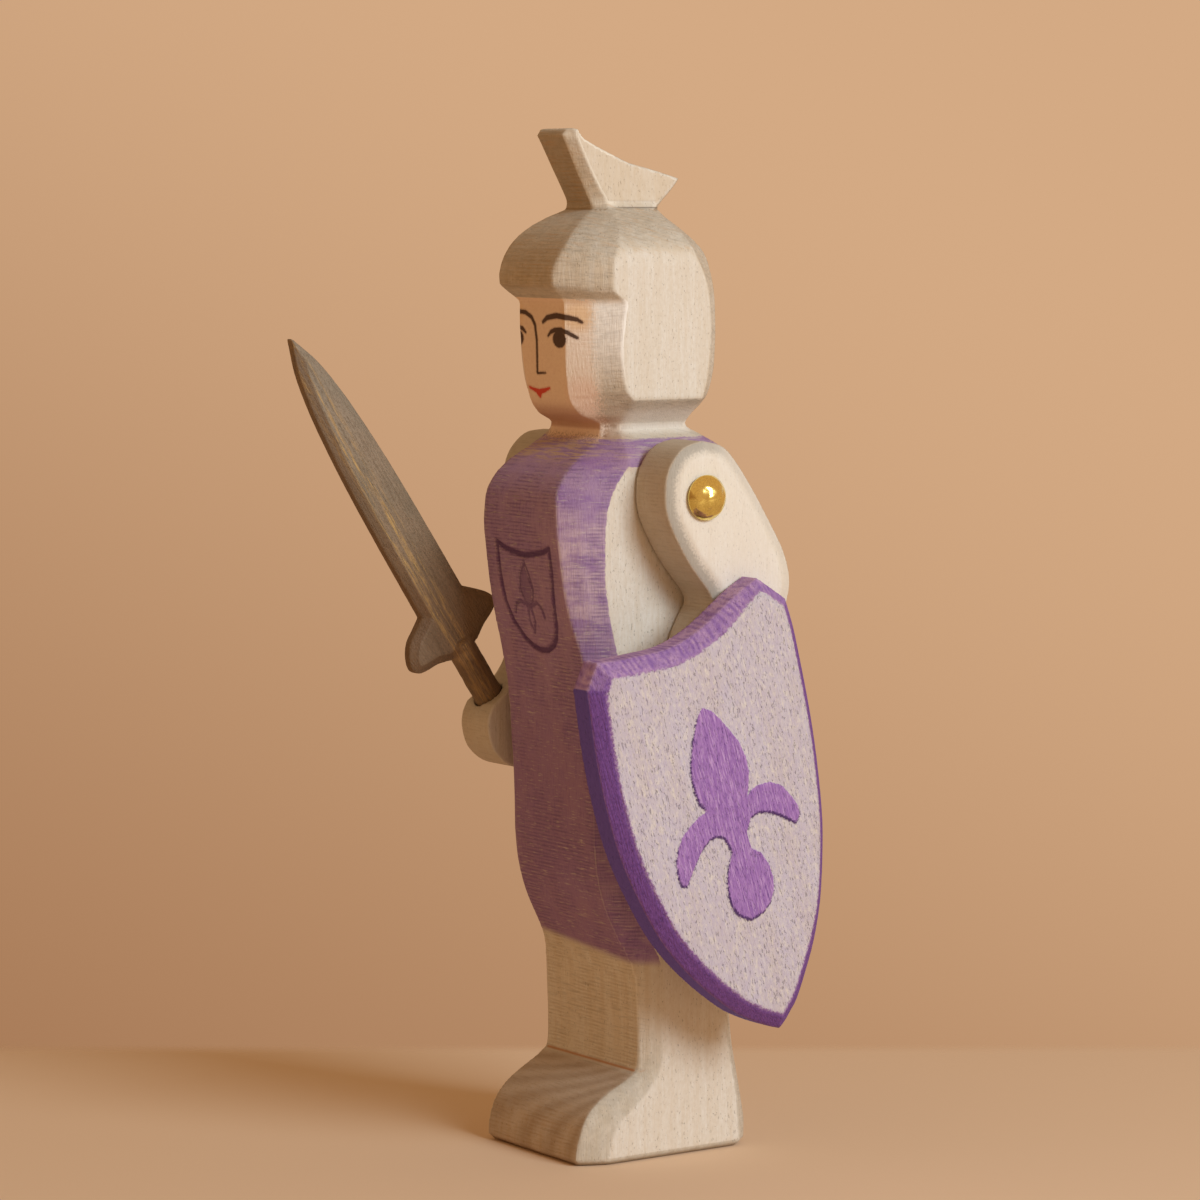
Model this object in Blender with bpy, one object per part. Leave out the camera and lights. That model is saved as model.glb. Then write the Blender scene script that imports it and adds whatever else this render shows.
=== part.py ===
"""A carved wooden toy knight with a shield, a sword and arms that turn on brass nails.

The figure stands on z = 0 and faces -Y; its left side is +X. Lengths are in millimetres until
they reach the mesh. The body is sawn in side profile from one board and its corners are sanded
off, so it is lofted from level sections. Arms, shield and sword are flat boards parallel to the
YZ plane.
"""

import bisect
import math

import bmesh
import bpy
from mathutils import Matrix, Vector

MM = 0.001

# Fits
CLEARANCE = 0.3  # between faces that nearly touch
TURN_FIT = 0.1  # radial play of a round piece that turns or slides in its hole
DRIVEN_FIT = 0.05  # radial room round a driven nail
ROUND_STEPS = 48

# Body board
BODY_HALF_THICKNESS = 14.5
PLUME_HALF_THICKNESS = 5.3
PLUME_FOOT = 148.7  # height where the plume starts
LEVEL_STEP = 1.3

# Shoulder joint
SHOULDER = (-3.0, 104.6)  # y, z of the nails
NAIL_HEAD_RADIUS = 3.5
NAIL_HEAD_HEIGHT = 2.2
NAIL_SHANK_RADIUS = 0.95
NAIL_LENGTH = 19.0
NAIL_POINT = 3.0

# Arms
ARM_THICKNESS = 8.0  # up to the start of the edge bevel
ARM_BEVEL_WIDTH = 2.4
ARM_BEVEL_DEPTH = 0.9
ARM_INNER_X = BODY_HALF_THICKNESS + CLEARANCE
ARM_OUTER_X = ARM_INNER_X + ARM_THICKNESS + ARM_BEVEL_DEPTH
RIGHT_ARM_FORWARD = math.radians(9.0)  # the right arm hangs this much further forward

# Shield and the dowel that carries it
SHIELD_BACK_X = ARM_OUTER_X + CLEARANCE
SHIELD_EDGE = 4.0  # height of the upright edge
SHIELD_BEVEL_WIDTH = 2.3
SHIELD_BEVEL_DEPTH = 2.0
SHIELD_TIP = (7.5, 21.4)  # y, z of the shield outline's own zero
SHIELD_TILT = math.radians(16.0)  # its top leans toward the front
PEG_RADIUS = 2.0
PEG_AT = (-5.2, 65.8)  # y, z, the middle of the left hand
PEG_IN_SHIELD = 3.6
PEG_END_BEVEL = 0.4
SOCKET_FLOOR_GAP = 0.4

# Sword and its socket in the right hand
SWORD_TILT = math.radians(32.9)  # its point leans toward the front
SWORD_GUARD = (-24.3, 86.8)  # y, z of the sword outline's own zero, where the blade meets the guard
SWORD_X = -(ARM_INNER_X + (ARM_THICKNESS + ARM_BEVEL_DEPTH) / 2)
SWORD_EDGE = 1.5  # board thickness at its edge
SWORD_THICKNESS = 3.1
SWORD_BEVEL_WIDTH = 1.5
GRIP_RADIUS = 2.45
GRIP_ACROSS = -0.7  # the grip stands this far nearer the front edge than the blade's middle
GRIP_TOP = -7.4  # inside the guard, along the sword from its zero
GRIP_END = -26.5
GRIP_END_BEVEL = 0.5
HAND_TOP = -18.6  # where the sword enters the hand, along the sword from its zero

# Side profile of the body: height, then y. A new tuple starts at each crease.
FRONT = (
    ((0.0, -18.6), (0.9, -19.5)),
    ((0.9, -19.5), (2.5, -19.4), (4.5, -18.9), (6.5, -18.2), (8.6, -16.7), (10.2, -14.8),
     (11.8, -12.0), (13.2, -9.2), (14.0, -8.1)),
    ((14.0, -8.1), (16.0, -7.8), (20.0, -7.8), (24.0, -8.0), (28.0, -8.2), (31.0, -8.8),
     (33.5, -9.9), (36.0, -11.2), (39.0, -12.7), (42.0, -13.8), (46.0, -14.7), (50.0, -15.1),
     (55.0, -15.2), (60.0, -15.4), (65.0, -15.7), (70.0, -16.0), (75.0, -16.6), (80.0, -17.7),
     (85.0, -19.2), (90.0, -20.3), (95.0, -21.0), (100.0, -21.5), (104.0, -21.4), (107.0, -20.1),
     (109.3, -17.8)),
    ((109.3, -17.8), (110.8, -15.6), (112.2, -13.2), (113.4, -11.2)),
    ((113.4, -11.2), (115.3, -10.9)),
    ((115.3, -10.9), (116.0, -13.0), (117.4, -14.8), (119.0, -15.8), (122.0, -16.5),
     (125.0, -16.9), (128.0, -17.1), (132.0, -17.3), (134.3, -17.3)),
    ((134.3, -17.3), (135.6, -19.0), (136.9, -20.4)),
    ((136.9, -20.4), (138.4, -20.5), (140.0, -20.1), (141.6, -19.3), (143.0, -18.3),
     (145.0, -16.4), (147.0, -13.7), (148.7, -10.2)),
    ((148.7, -10.2), (149.3, -10.3), (152.0, -11.6), (155.0, -13.2), (158.0, -14.7), (160.2, -15.9)),
    ((160.2, -15.9), (161.2, -15.0)),
)
BACK = (
    ((0.0, 12.3), (0.9, 13.1)),
    ((0.9, 13.1), (3.3, 13.2), (7.4, 12.6), (12.3, 11.6), (17.3, 10.6), (22.0, 10.1), (26.0, 9.7),
     (30.0, 9.5), (36.0, 9.9), (46.0, 11.0), (60.0, 11.4), (75.0, 10.6), (90.0, 10.8),
     (100.0, 11.6), (106.0, 11.3), (109.5, 10.4), (111.1, 9.8), (112.2, 8.8), (113.4, 7.2),
     (114.6, 5.2)),
    ((114.6, 5.2), (115.3, 4.9)),
    ((115.3, 4.9), (116.7, 5.8), (118.2, 6.9), (119.8, 7.7), (122.0, 8.2), (126.0, 8.6),
     (130.0, 8.8), (134.5, 8.7), (138.4, 8.3), (140.8, 7.9), (142.8, 7.1), (144.2, 6.0),
     (145.8, 4.5), (147.2, 3.0), (148.7, 1.6)),
    ((148.7, 1.6), (149.3, 1.95), (150.1, 2.75), (151.0, 3.7), (152.2, 4.9), (153.5, 5.9)),
    ((153.5, 5.9), (153.9, 4.3), (154.4, 2.7), (154.8, 0.9), (155.2, -1.2), (155.7, -3.3),
     (156.4, -5.3), (157.3, -7.4), (158.2, -9.5), (159.2, -11.9), (160.2, -13.2), (161.2, -13.9)),
)
# How far the edge of the flat front, the side and the edge of the flat back stand inside half the
# board's thickness (half the plume's, above its foot): height, then inset.
FRONT_INSET = (
    ((0.0, 2.7), (0.9, 2.0)),
    ((0.9, 2.0), (5.0, 1.7), (11.0, 2.1), (14.0, 1.7)),
    ((14.0, 1.7), (28.0, 1.8), (31.0, 2.4), (34.0, 3.1), (42.0, 3.2), (60.0, 3.2), (78.0, 3.1),
     (85.0, 3.7), (90.0, 4.0), (100.0, 4.1), (104.0, 4.5), (107.0, 5.0), (109.3, 5.5)),
    ((109.3, 5.5), (113.4, 7.5)),
    ((113.4, 7.5), (115.3, 7.7)),
    ((115.3, 7.7), (116.5, 8.6), (119.0, 8.9), (125.0, 8.5), (130.0, 8.2), (134.3, 8.3)),
    ((134.3, 8.3), (136.9, 7.2)),
    ((136.9, 7.2), (140.0, 7.0), (143.0, 6.8), (145.0, 7.3), (147.0, 8.7), (148.7, 10.7)),
    ((148.7, 1.5), (149.3, 2.0), (152.0, 2.2), (155.0, 2.1), (158.0, 1.9), (160.2, 1.8)),
    ((160.2, 1.8), (161.2, 1.8)),
)
SIDE_INSET = (
    ((0.0, 0.7), (0.9, 0.0)),
    ((0.9, 0.0), (109.0, 0.0)),
    ((109.0, 0.0), (110.6, 0.7), (112.2, 2.2), (113.4, 3.8), (114.6, 5.2)),
    ((114.6, 5.2), (115.3, 5.3)),
    ((115.3, 5.3), (119.3, 0.7)),
    ((119.3, 0.7), (140.0, 0.7)),
    ((140.0, 0.7), (142.0, 1.0), (144.0, 2.0), (146.0, 3.9), (147.5, 6.2), (148.7, 8.6)),
    ((148.7, -0.6), (149.3, 0.0), (161.2, 0.0)),
)
BACK_INSET = (
    ((0.0, 2.7), (0.9, 2.0)),
    ((0.9, 2.0), (22.0, 2.0), (40.0, 2.5), (109.0, 2.7)),
    ((109.0, 2.7), (111.0, 3.2), (113.4, 5.9), (114.6, 7.1), (115.3, 7.3)),
    ((115.3, 7.3), (116.7, 6.5), (119.3, 4.9), (125.0, 4.1), (135.0, 4.2), (140.0, 5.0),
     (142.8, 6.0), (144.2, 7.0), (145.8, 8.1), (147.2, 9.3), (148.7, 10.1)),
    ((148.7, 0.9), (149.3, 0.8), (161.2, 0.8)),
)
# Where the flat side begins and ends: height, then y.
SIDE_FRONT = (
    ((0.0, -14.0), (0.9, -14.6)),
    ((0.9, -14.6), (4.0, -13.4), (7.0, -11.3), (9.2, -8.6), (11.8, -5.8), (14.0, -4.4)),
    ((14.0, -4.4), (16.0, -4.0), (28.0, -3.9), (31.0, -4.5), (34.0, -6.0), (38.0, -7.6),
     (42.0, -8.7), (46.0, -9.4), (52.0, -10.0), (60.0, -10.3), (68.0, -10.8), (75.0, -11.8),
     (80.5, -12.9), (84.8, -14.0), (88.7, -14.7), (92.6, -15.1), (98.0, -15.1), (102.6, -14.6),
     (105.6, -13.4), (108.0, -11.7), (109.0, -10.8)),
    ((109.0, -10.8), (111.0, -10.3), (113.4, -9.4), (114.6, -8.9)),
    ((114.6, -8.9), (115.3, -8.8)),
    ((115.3, -8.8), (117.0, -8.9), (119.3, -9.2)),
    ((119.3, -9.2), (120.6, -10.5), (123.0, -11.2), (127.0, -11.6), (131.0, -11.2), (134.3, -10.6)),
    ((134.3, -10.6), (136.2, -13.1)),
    ((136.2, -13.1), (140.6, -12.9), (142.5, -12.1), (144.0, -11.2), (146.5, -9.6), (148.7, -8.4)),
    ((148.7, -8.4), (149.3, -8.3), (152.0, -10.0), (155.0, -11.7), (158.4, -13.4), (159.6, -13.9)),
    ((159.6, -13.9), (161.2, -14.3)),
)
SIDE_BACK = (
    ((0.0, 10.2), (0.9, 10.9)),
    ((0.9, 10.9), (7.4, 10.5), (12.3, 9.6), (17.3, 8.6), (24.0, 7.9), (30.0, 7.5), (36.0, 7.7),
     (46.0, 8.6), (60.0, 9.0), (75.0, 8.4), (90.0, 8.6), (100.0, 9.2), (106.0, 8.8), (109.0, 8.0)),
    ((109.0, 8.0), (111.1, 7.6), (112.2, 6.8), (113.4, 5.4), (114.6, 3.8), (115.3, 3.5)),
    ((115.3, 3.5), (117.0, 3.4), (119.3, 3.8)),
    ((119.3, 3.8), (123.0, 4.8), (130.0, 5.4), (135.0, 5.1), (138.5, 4.1), (140.5, 3.1),
     (142.5, 2.3), (144.5, 1.4), (146.5, 0.4), (148.7, -0.2)),
    ((148.7, -0.2), (149.3, 1.0), (150.1, 1.95), (151.0, 2.9), (152.2, 4.1), (153.5, 5.1)),
    ((153.5, 5.1), (153.9, 3.8), (154.4, 2.2), (154.8, 0.4), (155.2, -1.7), (155.7, -3.8),
     (156.4, -5.8), (157.3, -7.9), (158.2, -10.0), (159.2, -12.3), (160.2, -13.4), (161.2, -14.1)),
)
# Fullness of the sanded corner half way across it.
CORNER_ROUNDING = (
    ((0.0, 0.1), (14.0, 0.25), (30.0, 0.25), (60.0, 0.2), (109.0, 0.3), (115.3, 0.0)),
    ((115.3, 0.0), (119.0, 0.25), (134.3, 0.25), (136.9, 0.1), (144.0, 0.25), (148.7, 0.0),
     (161.2, 0.0)),
)

# Outline of an arm as the left one hangs: y, z. A new tuple starts at each corner.
ARM_OUTLINE = (
    ((-3.0, 113.3), (-6.6, 112.2), (-9.2, 109.0), (-9.9, 105.0), (-9.3, 101.3), (-7.2, 97.2),
     (-5.1, 94.0), (-3.2, 91.7), (-1.5, 89.6), (-0.8, 87.8), (-2.0, 85.6), (-3.5, 82.6),
     (-4.6, 78.6), (-5.3, 75.0), (-6.4, 72.7)),
    ((-6.4, 72.7), (-11.1, 68.0)),
    ((-11.1, 68.0), (-11.7, 65.7), (-11.2, 63.0), (-9.6, 60.4), (-6.4, 58.6), (-2.9, 58.7),
     (0.3, 61.1), (3.6, 67.5), (7.6, 74.8), (11.4, 82.0), (13.5, 87.6), (14.1, 91.2),
     (12.9, 95.6), (9.9, 100.8), (6.8, 105.6), (3.4, 110.2), (0.8, 112.5), (-3.0, 113.3)),
)
# Outline of the shield from its own zero near the tip: toward the back, upward.
SHIELD_OUTLINE = (
    ((-18.8, 62.8), (-19.4, 58.1), (-20.1, 51.9), (-20.4, 45.5), (-20.3, 39.2), (-19.7, 33.8),
     (-18.5, 28.2), (-16.7, 21.9), (-14.2, 16.4), (-10.8, 10.9), (-7.1, 6.1), (-4.9, 3.9),
     (-2.6, 2.05), (-0.3, 0.45), (1.0, -0.3)),
    ((1.0, -0.3), (2.4, 0.5), (3.8, 1.6), (5.5, 3.0), (8.4, 6.7), (11.2, 10.8), (14.0, 16.3),
     (16.1, 22.3), (17.8, 28.3), (18.9, 34.6), (19.7, 41.0), (20.2, 47.5), (20.5, 54.8),
     (20.6, 59.8), (20.3, 64.3)),
    ((20.3, 64.3), (16.0, 69.1)),
    ((16.0, 69.1), (12.4, 68.2), (9.0, 67.0), (4.7, 65.4), (0.4, 64.4), (-3.6, 64.2),
     (-9.0, 65.0), (-13.3, 65.8), (-15.8, 66.4)),
    ((-15.8, 66.4), (-18.8, 62.8)),
)
# Sword from its own zero: across from the middle, along toward the point. Half of the blade's
# outline, then each half of the guard's, which is carved a little longer at the front.
BLADE_HALF = ((0.0, 50.1), (0.9, 47.8), (2.0, 44.4), (2.75, 40.6), (3.35, 36.0), (3.8, 30.4),
              (4.15, 24.0), (4.35, 16.0), (4.45, 8.0), (4.5, -0.5))
GUARD_BACK = ((4.5, -0.5), (5.7, -1.7), (7.0, -3.1), (8.0, -4.4), (8.4, -5.6), (8.0, -6.7),
              (6.9, -7.4), (5.4, -7.9), (3.9, -8.5), (2.3, -9.5))
GUARD_FRONT = ((4.5, -0.5), (6.0, -1.3), (8.3, -2.5), (9.7, -4.1), (10.4, -5.8), (10.3, -7.0),
               (9.4, -7.8), (7.9, -8.2), (5.9, -8.5), (3.7, -9.5))


def track(spans, height):
    """Value of a profile at a height: smooth inside each span, with a crease between spans."""
    for span in spans:
        if height <= span[-1][0]:
            break
    places = [point[0] for point in span]
    i = min(max(bisect.bisect_right(places, height) - 1, 0), len(span) - 2)

    def slope(k):
        return (span[k + 1][1] - span[k][1]) / (span[k + 1][0] - span[k][0])

    def tangent(k):
        if k == 0:
            return slope(0)
        if k == len(span) - 1:
            return slope(k - 1)
        before, after = slope(k - 1), slope(k)
        return 0.0 if before * after <= 0 else 2 * before * after / (before + after)

    width = span[i + 1][0] - span[i][0]
    u = (height - span[i][0]) / width
    start, end = span[i][1], span[i + 1][1]
    return (start * (2 * u**3 - 3 * u**2 + 1) + end * (3 * u**2 - 2 * u**3)
            + width * (tangent(i) * (u**3 - 2 * u**2 + u) + tangent(i + 1) * (u**3 - u**2)))


def smooth(spans, steps):
    """Closed outline through the points of each span as a curve, with a corner between spans."""
    outline = []
    for span in spans:
        for i in range(len(span) - 1):
            before = span[max(i - 1, 0)]
            after = span[min(i + 2, len(span) - 1)]
            count = 1 if len(span) == 2 else steps
            for n in range(count):
                u = n / count
                point = []
                for axis in (0, 1):
                    p0, p1, p2, p3 = before[axis], span[i][axis], span[i + 1][axis], after[axis]
                    point.append(0.5 * (2 * p1 + (p2 - p0) * u + (2 * p0 - 5 * p1 + 4 * p2 - p3) * u**2
                                        + (3 * p1 - p0 - 3 * p2 + p3) * u**3))
                outline.append(tuple(point))
    return outline


def turned(point, centre, angle):
    """A point in the YZ plane, turned about the centre so that what is above it moves to -Y."""
    y, z = point[0] - centre[0], point[1] - centre[1]
    return (centre[0] + y * math.cos(angle) - z * math.sin(angle),
            centre[1] + y * math.sin(angle) + z * math.cos(angle))


def placed(point, zero, tilt):
    """A point of a tilted board's own outline, in the YZ plane of the figure."""
    return turned((point[0] + zero[0], point[1] + zero[1]), zero, tilt)


def wood(name, colour, roughness):
    material = bpy.data.materials.new(name)
    material.use_nodes = True
    shader = material.node_tree.nodes["Principled BSDF"]
    shader.inputs["Base Color"].default_value = (*colour, 1.0)
    shader.inputs["Roughness"].default_value = roughness
    return material


def add_object(name, bm, material, origin=(0.0, 0.0, 0.0), flat_angle=40.0):
    """Turns a bmesh in millimetres into an object whose origin is at the given point."""
    bmesh.ops.recalc_face_normals(bm, faces=bm.faces)
    bmesh.ops.transform(bm, matrix=Matrix.Translation(-Vector(origin)), verts=bm.verts)
    bmesh.ops.scale(bm, vec=(MM, MM, MM), verts=bm.verts)
    for face in bm.faces:
        face.smooth = True
    for edge in bm.edges:
        edge.smooth = len(edge.link_faces) == 2 and edge.calc_face_angle() < math.radians(flat_angle)
    mesh = bpy.data.meshes.new(name)
    bm.to_mesh(mesh)
    bm.free()
    obj = bpy.data.objects.new(name, mesh)
    obj.location = Vector(origin) * MM
    if material is not None:
        mesh.materials.append(material)
    bpy.context.scene.collection.objects.link(obj)
    return obj


def lathe(profile, matrix, steps=ROUND_STEPS):
    """A turned piece: (radius, height) pairs spun about the matrix's Z axis, closed on the axis."""
    bm = bmesh.new()
    points = [bm.verts.new((radius, 0.0, height)) for radius, height in profile]
    edges = [bm.edges.new(pair) for pair in zip(points, points[1:])]
    bmesh.ops.spin(bm, geom=points + edges, axis=(0, 0, 1), cent=(0, 0, 0), dvec=(0, 0, 0),
                   angle=math.tau, steps=steps, use_merge=True)
    bmesh.ops.remove_doubles(bm, verts=bm.verts, dist=1e-4)
    bmesh.ops.transform(bm, matrix=matrix, verts=bm.verts)
    return bm


def along(start, direction):
    """Matrix that puts Z on the direction and zero on the start point."""
    turn = Vector(direction).to_track_quat("Z", "Y").to_matrix().to_4x4()
    return Matrix.Translation(Vector(start)) @ turn


def cut(obj, cutter, name, operation="DIFFERENCE"):
    modifier = obj.modifiers.new(name, "BOOLEAN")
    modifier.operation = operation
    modifier.solver = "EXACT"
    modifier.object = cutter
    cutter.hide_render = True
    cutter.display_type = "WIRE"
    return modifier


def hole(obj, name, start, direction, radius, depth):
    """Bores a round hole whose polygon clears the radius, from a little outside the start."""
    wide = radius / math.cos(math.pi / ROUND_STEPS)
    over = 3.0
    bm = lathe(((0.0, -over), (wide, -over), (wide, depth), (0.0, depth)), along(start, direction))
    cut(obj, add_object(name, bm, None), name)


def clear_corners(outline, width):
    """Leaves out points so near an outward corner that a bevel of this width would fold there."""
    points = [Vector(point) for point in outline]
    count = len(points)
    area = sum(a.x * b.y - b.x * a.y for a, b in zip(points, points[1:] + points[:1]))
    dropped = set()
    for i, corner in enumerate(points):
        before, after = corner - points[i - 1], points[(i + 1) % count] - corner
        turn = math.atan2(before.x * after.y - before.y * after.x, before.dot(after))
        turn = math.copysign(1.0, area) * turn
        if turn > math.radians(25):
            reach = 1.1 * width * math.tan(turn / 2)
            for step in (1, -1):
                j = i + step
                while (points[j % count] - corner).length < reach:
                    dropped.add(j % count)
                    j += step
    return [point for i, point in enumerate(outline) if i not in dropped]


def board(outline, x_back, x_front, bevel_width, bevel_depth, both=False):
    """A flat board between two X planes with a sanded bevel round its outer face, or both faces."""
    bm = bmesh.new()
    outline = clear_corners(outline, bevel_width)
    back = bm.faces.new([bm.verts.new((x_back, y, z)) for y, z in outline])
    grown = bmesh.ops.extrude_face_region(bm, geom=[back])
    moved = [item for item in grown["geom"] if isinstance(item, bmesh.types.BMVert)]
    bmesh.ops.translate(bm, vec=(x_front - x_back, 0, 0), verts=moved)
    front = [item for item in grown["geom"] if isinstance(item, bmesh.types.BMFace)]
    bmesh.ops.recalc_face_normals(bm, faces=bm.faces)
    for face in front + ([back] if both else []):
        if face.is_valid:
            bmesh.ops.inset_region(bm, faces=[face], thickness=bevel_width, depth=bevel_depth,
                                   use_even_offset=True, use_boundary=True)
    return bm


def body_levels():
    creases = {point[0] for table in (FRONT, BACK, FRONT_INSET, SIDE_INSET, SIDE_FRONT, SIDE_BACK)
               for span in table for point in (span[0], span[-1])}
    levels = sorted(creases)
    filled = []
    for low, high in zip(levels, levels[1:]):
        count = max(1, round((high - low) / LEVEL_STEP))
        filled += [low + (high - low) * n / count for n in range(count)]
    return filled + [levels[-1]]


def body_section(z):
    """Right half of one level section, from the middle of the front to the middle of the back."""
    front, back = track(FRONT, z), track(BACK, z)
    thickness = PLUME_HALF_THICKNESS if z > PLUME_FOOT else BODY_HALF_THICKNESS
    front_half, side_half, back_half = (thickness - track(table, z)
                                        for table in (FRONT_INSET, SIDE_INSET, BACK_INSET))
    side_front, side_back = track(SIDE_FRONT, z), track(SIDE_BACK, z)
    corner = Vector((side_half - front_half, side_front - front))
    outward = Vector((corner.y, -corner.x)).normalized() * track(CORNER_ROUNDING, z)
    middle = Vector((front_half, front)) + corner / 2 + outward
    return [(front_half, front), (middle.x, middle.y), (side_half, side_front),
            (side_half, side_back), (back_half, back)]


def make_body(material):
    bm = bmesh.new()
    rings = []
    for z in body_levels():
        half = body_section(z)
        loop = half + [(-x, y) for x, y in reversed(half)]
        rings.append([bm.verts.new((x, y, z)) for x, y in loop])
    for low, high in zip(rings, rings[1:]):
        for i in range(len(low)):
            j = (i + 1) % len(low)
            bm.faces.new((low[i], low[j], high[j], high[i]))
    bm.faces.new(rings[0])
    bm.faces.new(rings[-1])
    body = add_object("body", bm, material, flat_angle=24.0)
    y, z = SHOULDER
    depth = BODY_HALF_THICKNESS - nail_tip_x() + SOCKET_FLOOR_GAP
    for side, name in ((1, "nail_hole_left"), (-1, "nail_hole_right")):
        start = (side * BODY_HALF_THICKNESS, y, z)
        hole(body, name, start, (-side, 0, 0), NAIL_SHANK_RADIUS + DRIVEN_FIT, depth)
    return body


def nail_tip_x():
    return ARM_OUTER_X + CLEARANCE - NAIL_LENGTH


def make_nail(name, side, material):
    """A brass upholstery nail: a low domed head on a round shank with a tapered point."""
    dome = []
    steps = 9
    sphere = (NAIL_HEAD_RADIUS**2 + NAIL_HEAD_HEIGHT**2) / (2 * NAIL_HEAD_HEIGHT)
    for n in range(steps + 1):
        radius = NAIL_HEAD_RADIUS * n / steps
        dome.append((radius, math.sqrt(sphere**2 - radius**2) - sphere + NAIL_HEAD_HEIGHT + 0.25))
    rim = [(NAIL_HEAD_RADIUS, 0.0), (NAIL_SHANK_RADIUS, 0.0)]
    shank = [(NAIL_SHANK_RADIUS, NAIL_POINT - NAIL_LENGTH), (0.12, -NAIL_LENGTH), (0.0, -NAIL_LENGTH)]
    y, z = SHOULDER
    at = (side * (ARM_OUTER_X + CLEARANCE), y, z)
    bm = lathe(dome + rim + shank, along(at, (side, 0, 0)))
    return add_object(name, bm, material, at)


def make_arm(name, side, forward, material):
    outline = [turned(point, SHOULDER, -forward) for point in smooth(ARM_OUTLINE, 4)]
    edge_x = side * (ARM_INNER_X + ARM_THICKNESS)
    bm = board(outline, side * ARM_INNER_X, edge_x, ARM_BEVEL_WIDTH, ARM_BEVEL_DEPTH)
    arm = add_object(name, bm, material, (side * ARM_INNER_X, *SHOULDER), flat_angle=14.0)
    start = (side * ARM_OUTER_X, *SHOULDER)
    through = ARM_THICKNESS + ARM_BEVEL_DEPTH + 3.0
    hole(arm, name + "_nail_hole", start, (-side, 0, 0), NAIL_SHANK_RADIUS + TURN_FIT, through)
    return arm


def make_arm_left(material):
    arm = make_arm("arm_left", 1, 0.0, material)
    through = ARM_THICKNESS + ARM_BEVEL_DEPTH + 3.0
    hole(arm, "peg_hole", (ARM_OUTER_X, *PEG_AT), (-1, 0, 0), PEG_RADIUS + TURN_FIT, through)
    return arm


def sword_point(along_blade):
    y, z = placed((GRIP_ACROSS, along_blade), SWORD_GUARD, SWORD_TILT)
    return (SWORD_X, y, z)


def make_arm_right(material):
    arm = make_arm("arm_right", -1, RIGHT_ARM_FORWARD, material)
    down = (0.0, math.sin(SWORD_TILT), -math.cos(SWORD_TILT))
    depth = HAND_TOP - GRIP_END + SOCKET_FLOOR_GAP
    hole(arm, "sword_hole", sword_point(HAND_TOP), down, GRIP_RADIUS + TURN_FIT, depth)
    return arm


def make_shield(material):
    outline = [placed(point, SHIELD_TIP, SHIELD_TILT) for point in smooth(SHIELD_OUTLINE, 3)]
    edge_x = SHIELD_BACK_X + SHIELD_EDGE
    bm = board(outline, SHIELD_BACK_X, edge_x, SHIELD_BEVEL_WIDTH, SHIELD_BEVEL_DEPTH)
    shield = add_object("shield", bm, material, (SHIELD_BACK_X, *PEG_AT), flat_angle=20.0)
    depth = PEG_IN_SHIELD + SOCKET_FLOOR_GAP
    hole(shield, "shield_socket", (SHIELD_BACK_X, *PEG_AT), (1, 0, 0), PEG_RADIUS + TURN_FIT, depth)
    return shield


def rod(length, radius, bevel):
    return ((0.0, 0.0), (radius - bevel, 0.0), (radius, bevel), (radius, length - bevel),
            (radius - bevel, length), (0.0, length))


def make_peg(material):
    start = (ARM_INNER_X, *PEG_AT)
    length = SHIELD_BACK_X + PEG_IN_SHIELD - ARM_INNER_X
    bm = lathe(rod(length, PEG_RADIUS, PEG_END_BEVEL), along(start, (1, 0, 0)))
    return add_object("shield_peg", bm, material, start)


def make_sword(material):
    back = smooth((BLADE_HALF, GUARD_BACK), 3) + [GUARD_BACK[-1]]
    front = smooth((BLADE_HALF, GUARD_FRONT), 3) + [GUARD_FRONT[-1]]
    full = back + [(-x, along_blade) for x, along_blade in reversed(front[1:])]
    outline = [placed(point, SWORD_GUARD, SWORD_TILT) for point in full]
    bevel_depth = (SWORD_THICKNESS - SWORD_EDGE) / 2
    bm = board(outline, SWORD_X - SWORD_EDGE / 2, SWORD_X + SWORD_EDGE / 2,
               SWORD_BEVEL_WIDTH, bevel_depth, both=True)
    sword = add_object("sword", bm, material, sword_point(HAND_TOP), flat_angle=20.0)
    up = (0.0, -math.sin(SWORD_TILT), math.cos(SWORD_TILT))
    profile = rod(GRIP_TOP - GRIP_END, GRIP_RADIUS, GRIP_END_BEVEL)
    grip = add_object("grip", lathe(profile, along(sword_point(GRIP_END), up)), None)
    cut(sword, grip, "grip", "UNION")
    return sword


def main():
    for obj in list(bpy.data.objects):
        bpy.data.objects.remove(obj, do_unlink=True)
    maple = wood("maple_oiled", (0.78, 0.66, 0.50), 0.62)
    maple_arm_left = wood("maple_arm_left", (0.79, 0.68, 0.53), 0.62)
    maple_arm_right = wood("maple_arm_right", (0.76, 0.65, 0.49), 0.62)
    beech_peg = wood("beech_dowel", (0.62, 0.44, 0.27), 0.6)
    shield_wood = wood("shield_stained_wood", (0.62, 0.54, 0.62), 0.7)
    walnut = wood("sword_stained_wood", (0.17, 0.11, 0.07), 0.5)
    brass_left = wood("brass_nail_left", (0.80, 0.56, 0.20), 0.25)
    brass_right = wood("brass_nail_right", (0.80, 0.56, 0.20), 0.25)
    for brass in (brass_left, brass_right):
        brass.node_tree.nodes["Principled BSDF"].inputs["Metallic"].default_value = 1.0
    make_body(maple)
    make_arm_left(maple_arm_left)
    make_arm_right(maple_arm_right)
    make_nail("shoulder_nail_left", 1, brass_left)
    make_nail("shoulder_nail_right", -1, brass_right)
    make_shield(shield_wood)
    make_peg(beech_peg)
    make_sword(walnut)


main()
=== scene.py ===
"""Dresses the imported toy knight: sawn and sanded maple, wood stains, face paint, brass nails.

Shapes are worked in millimetres and scaled to metres when a piece is finished. Each wooden piece
is a finer copy of its solid whose arrises are softened the way a sanding drum leaves them.
"""

import math

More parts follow.
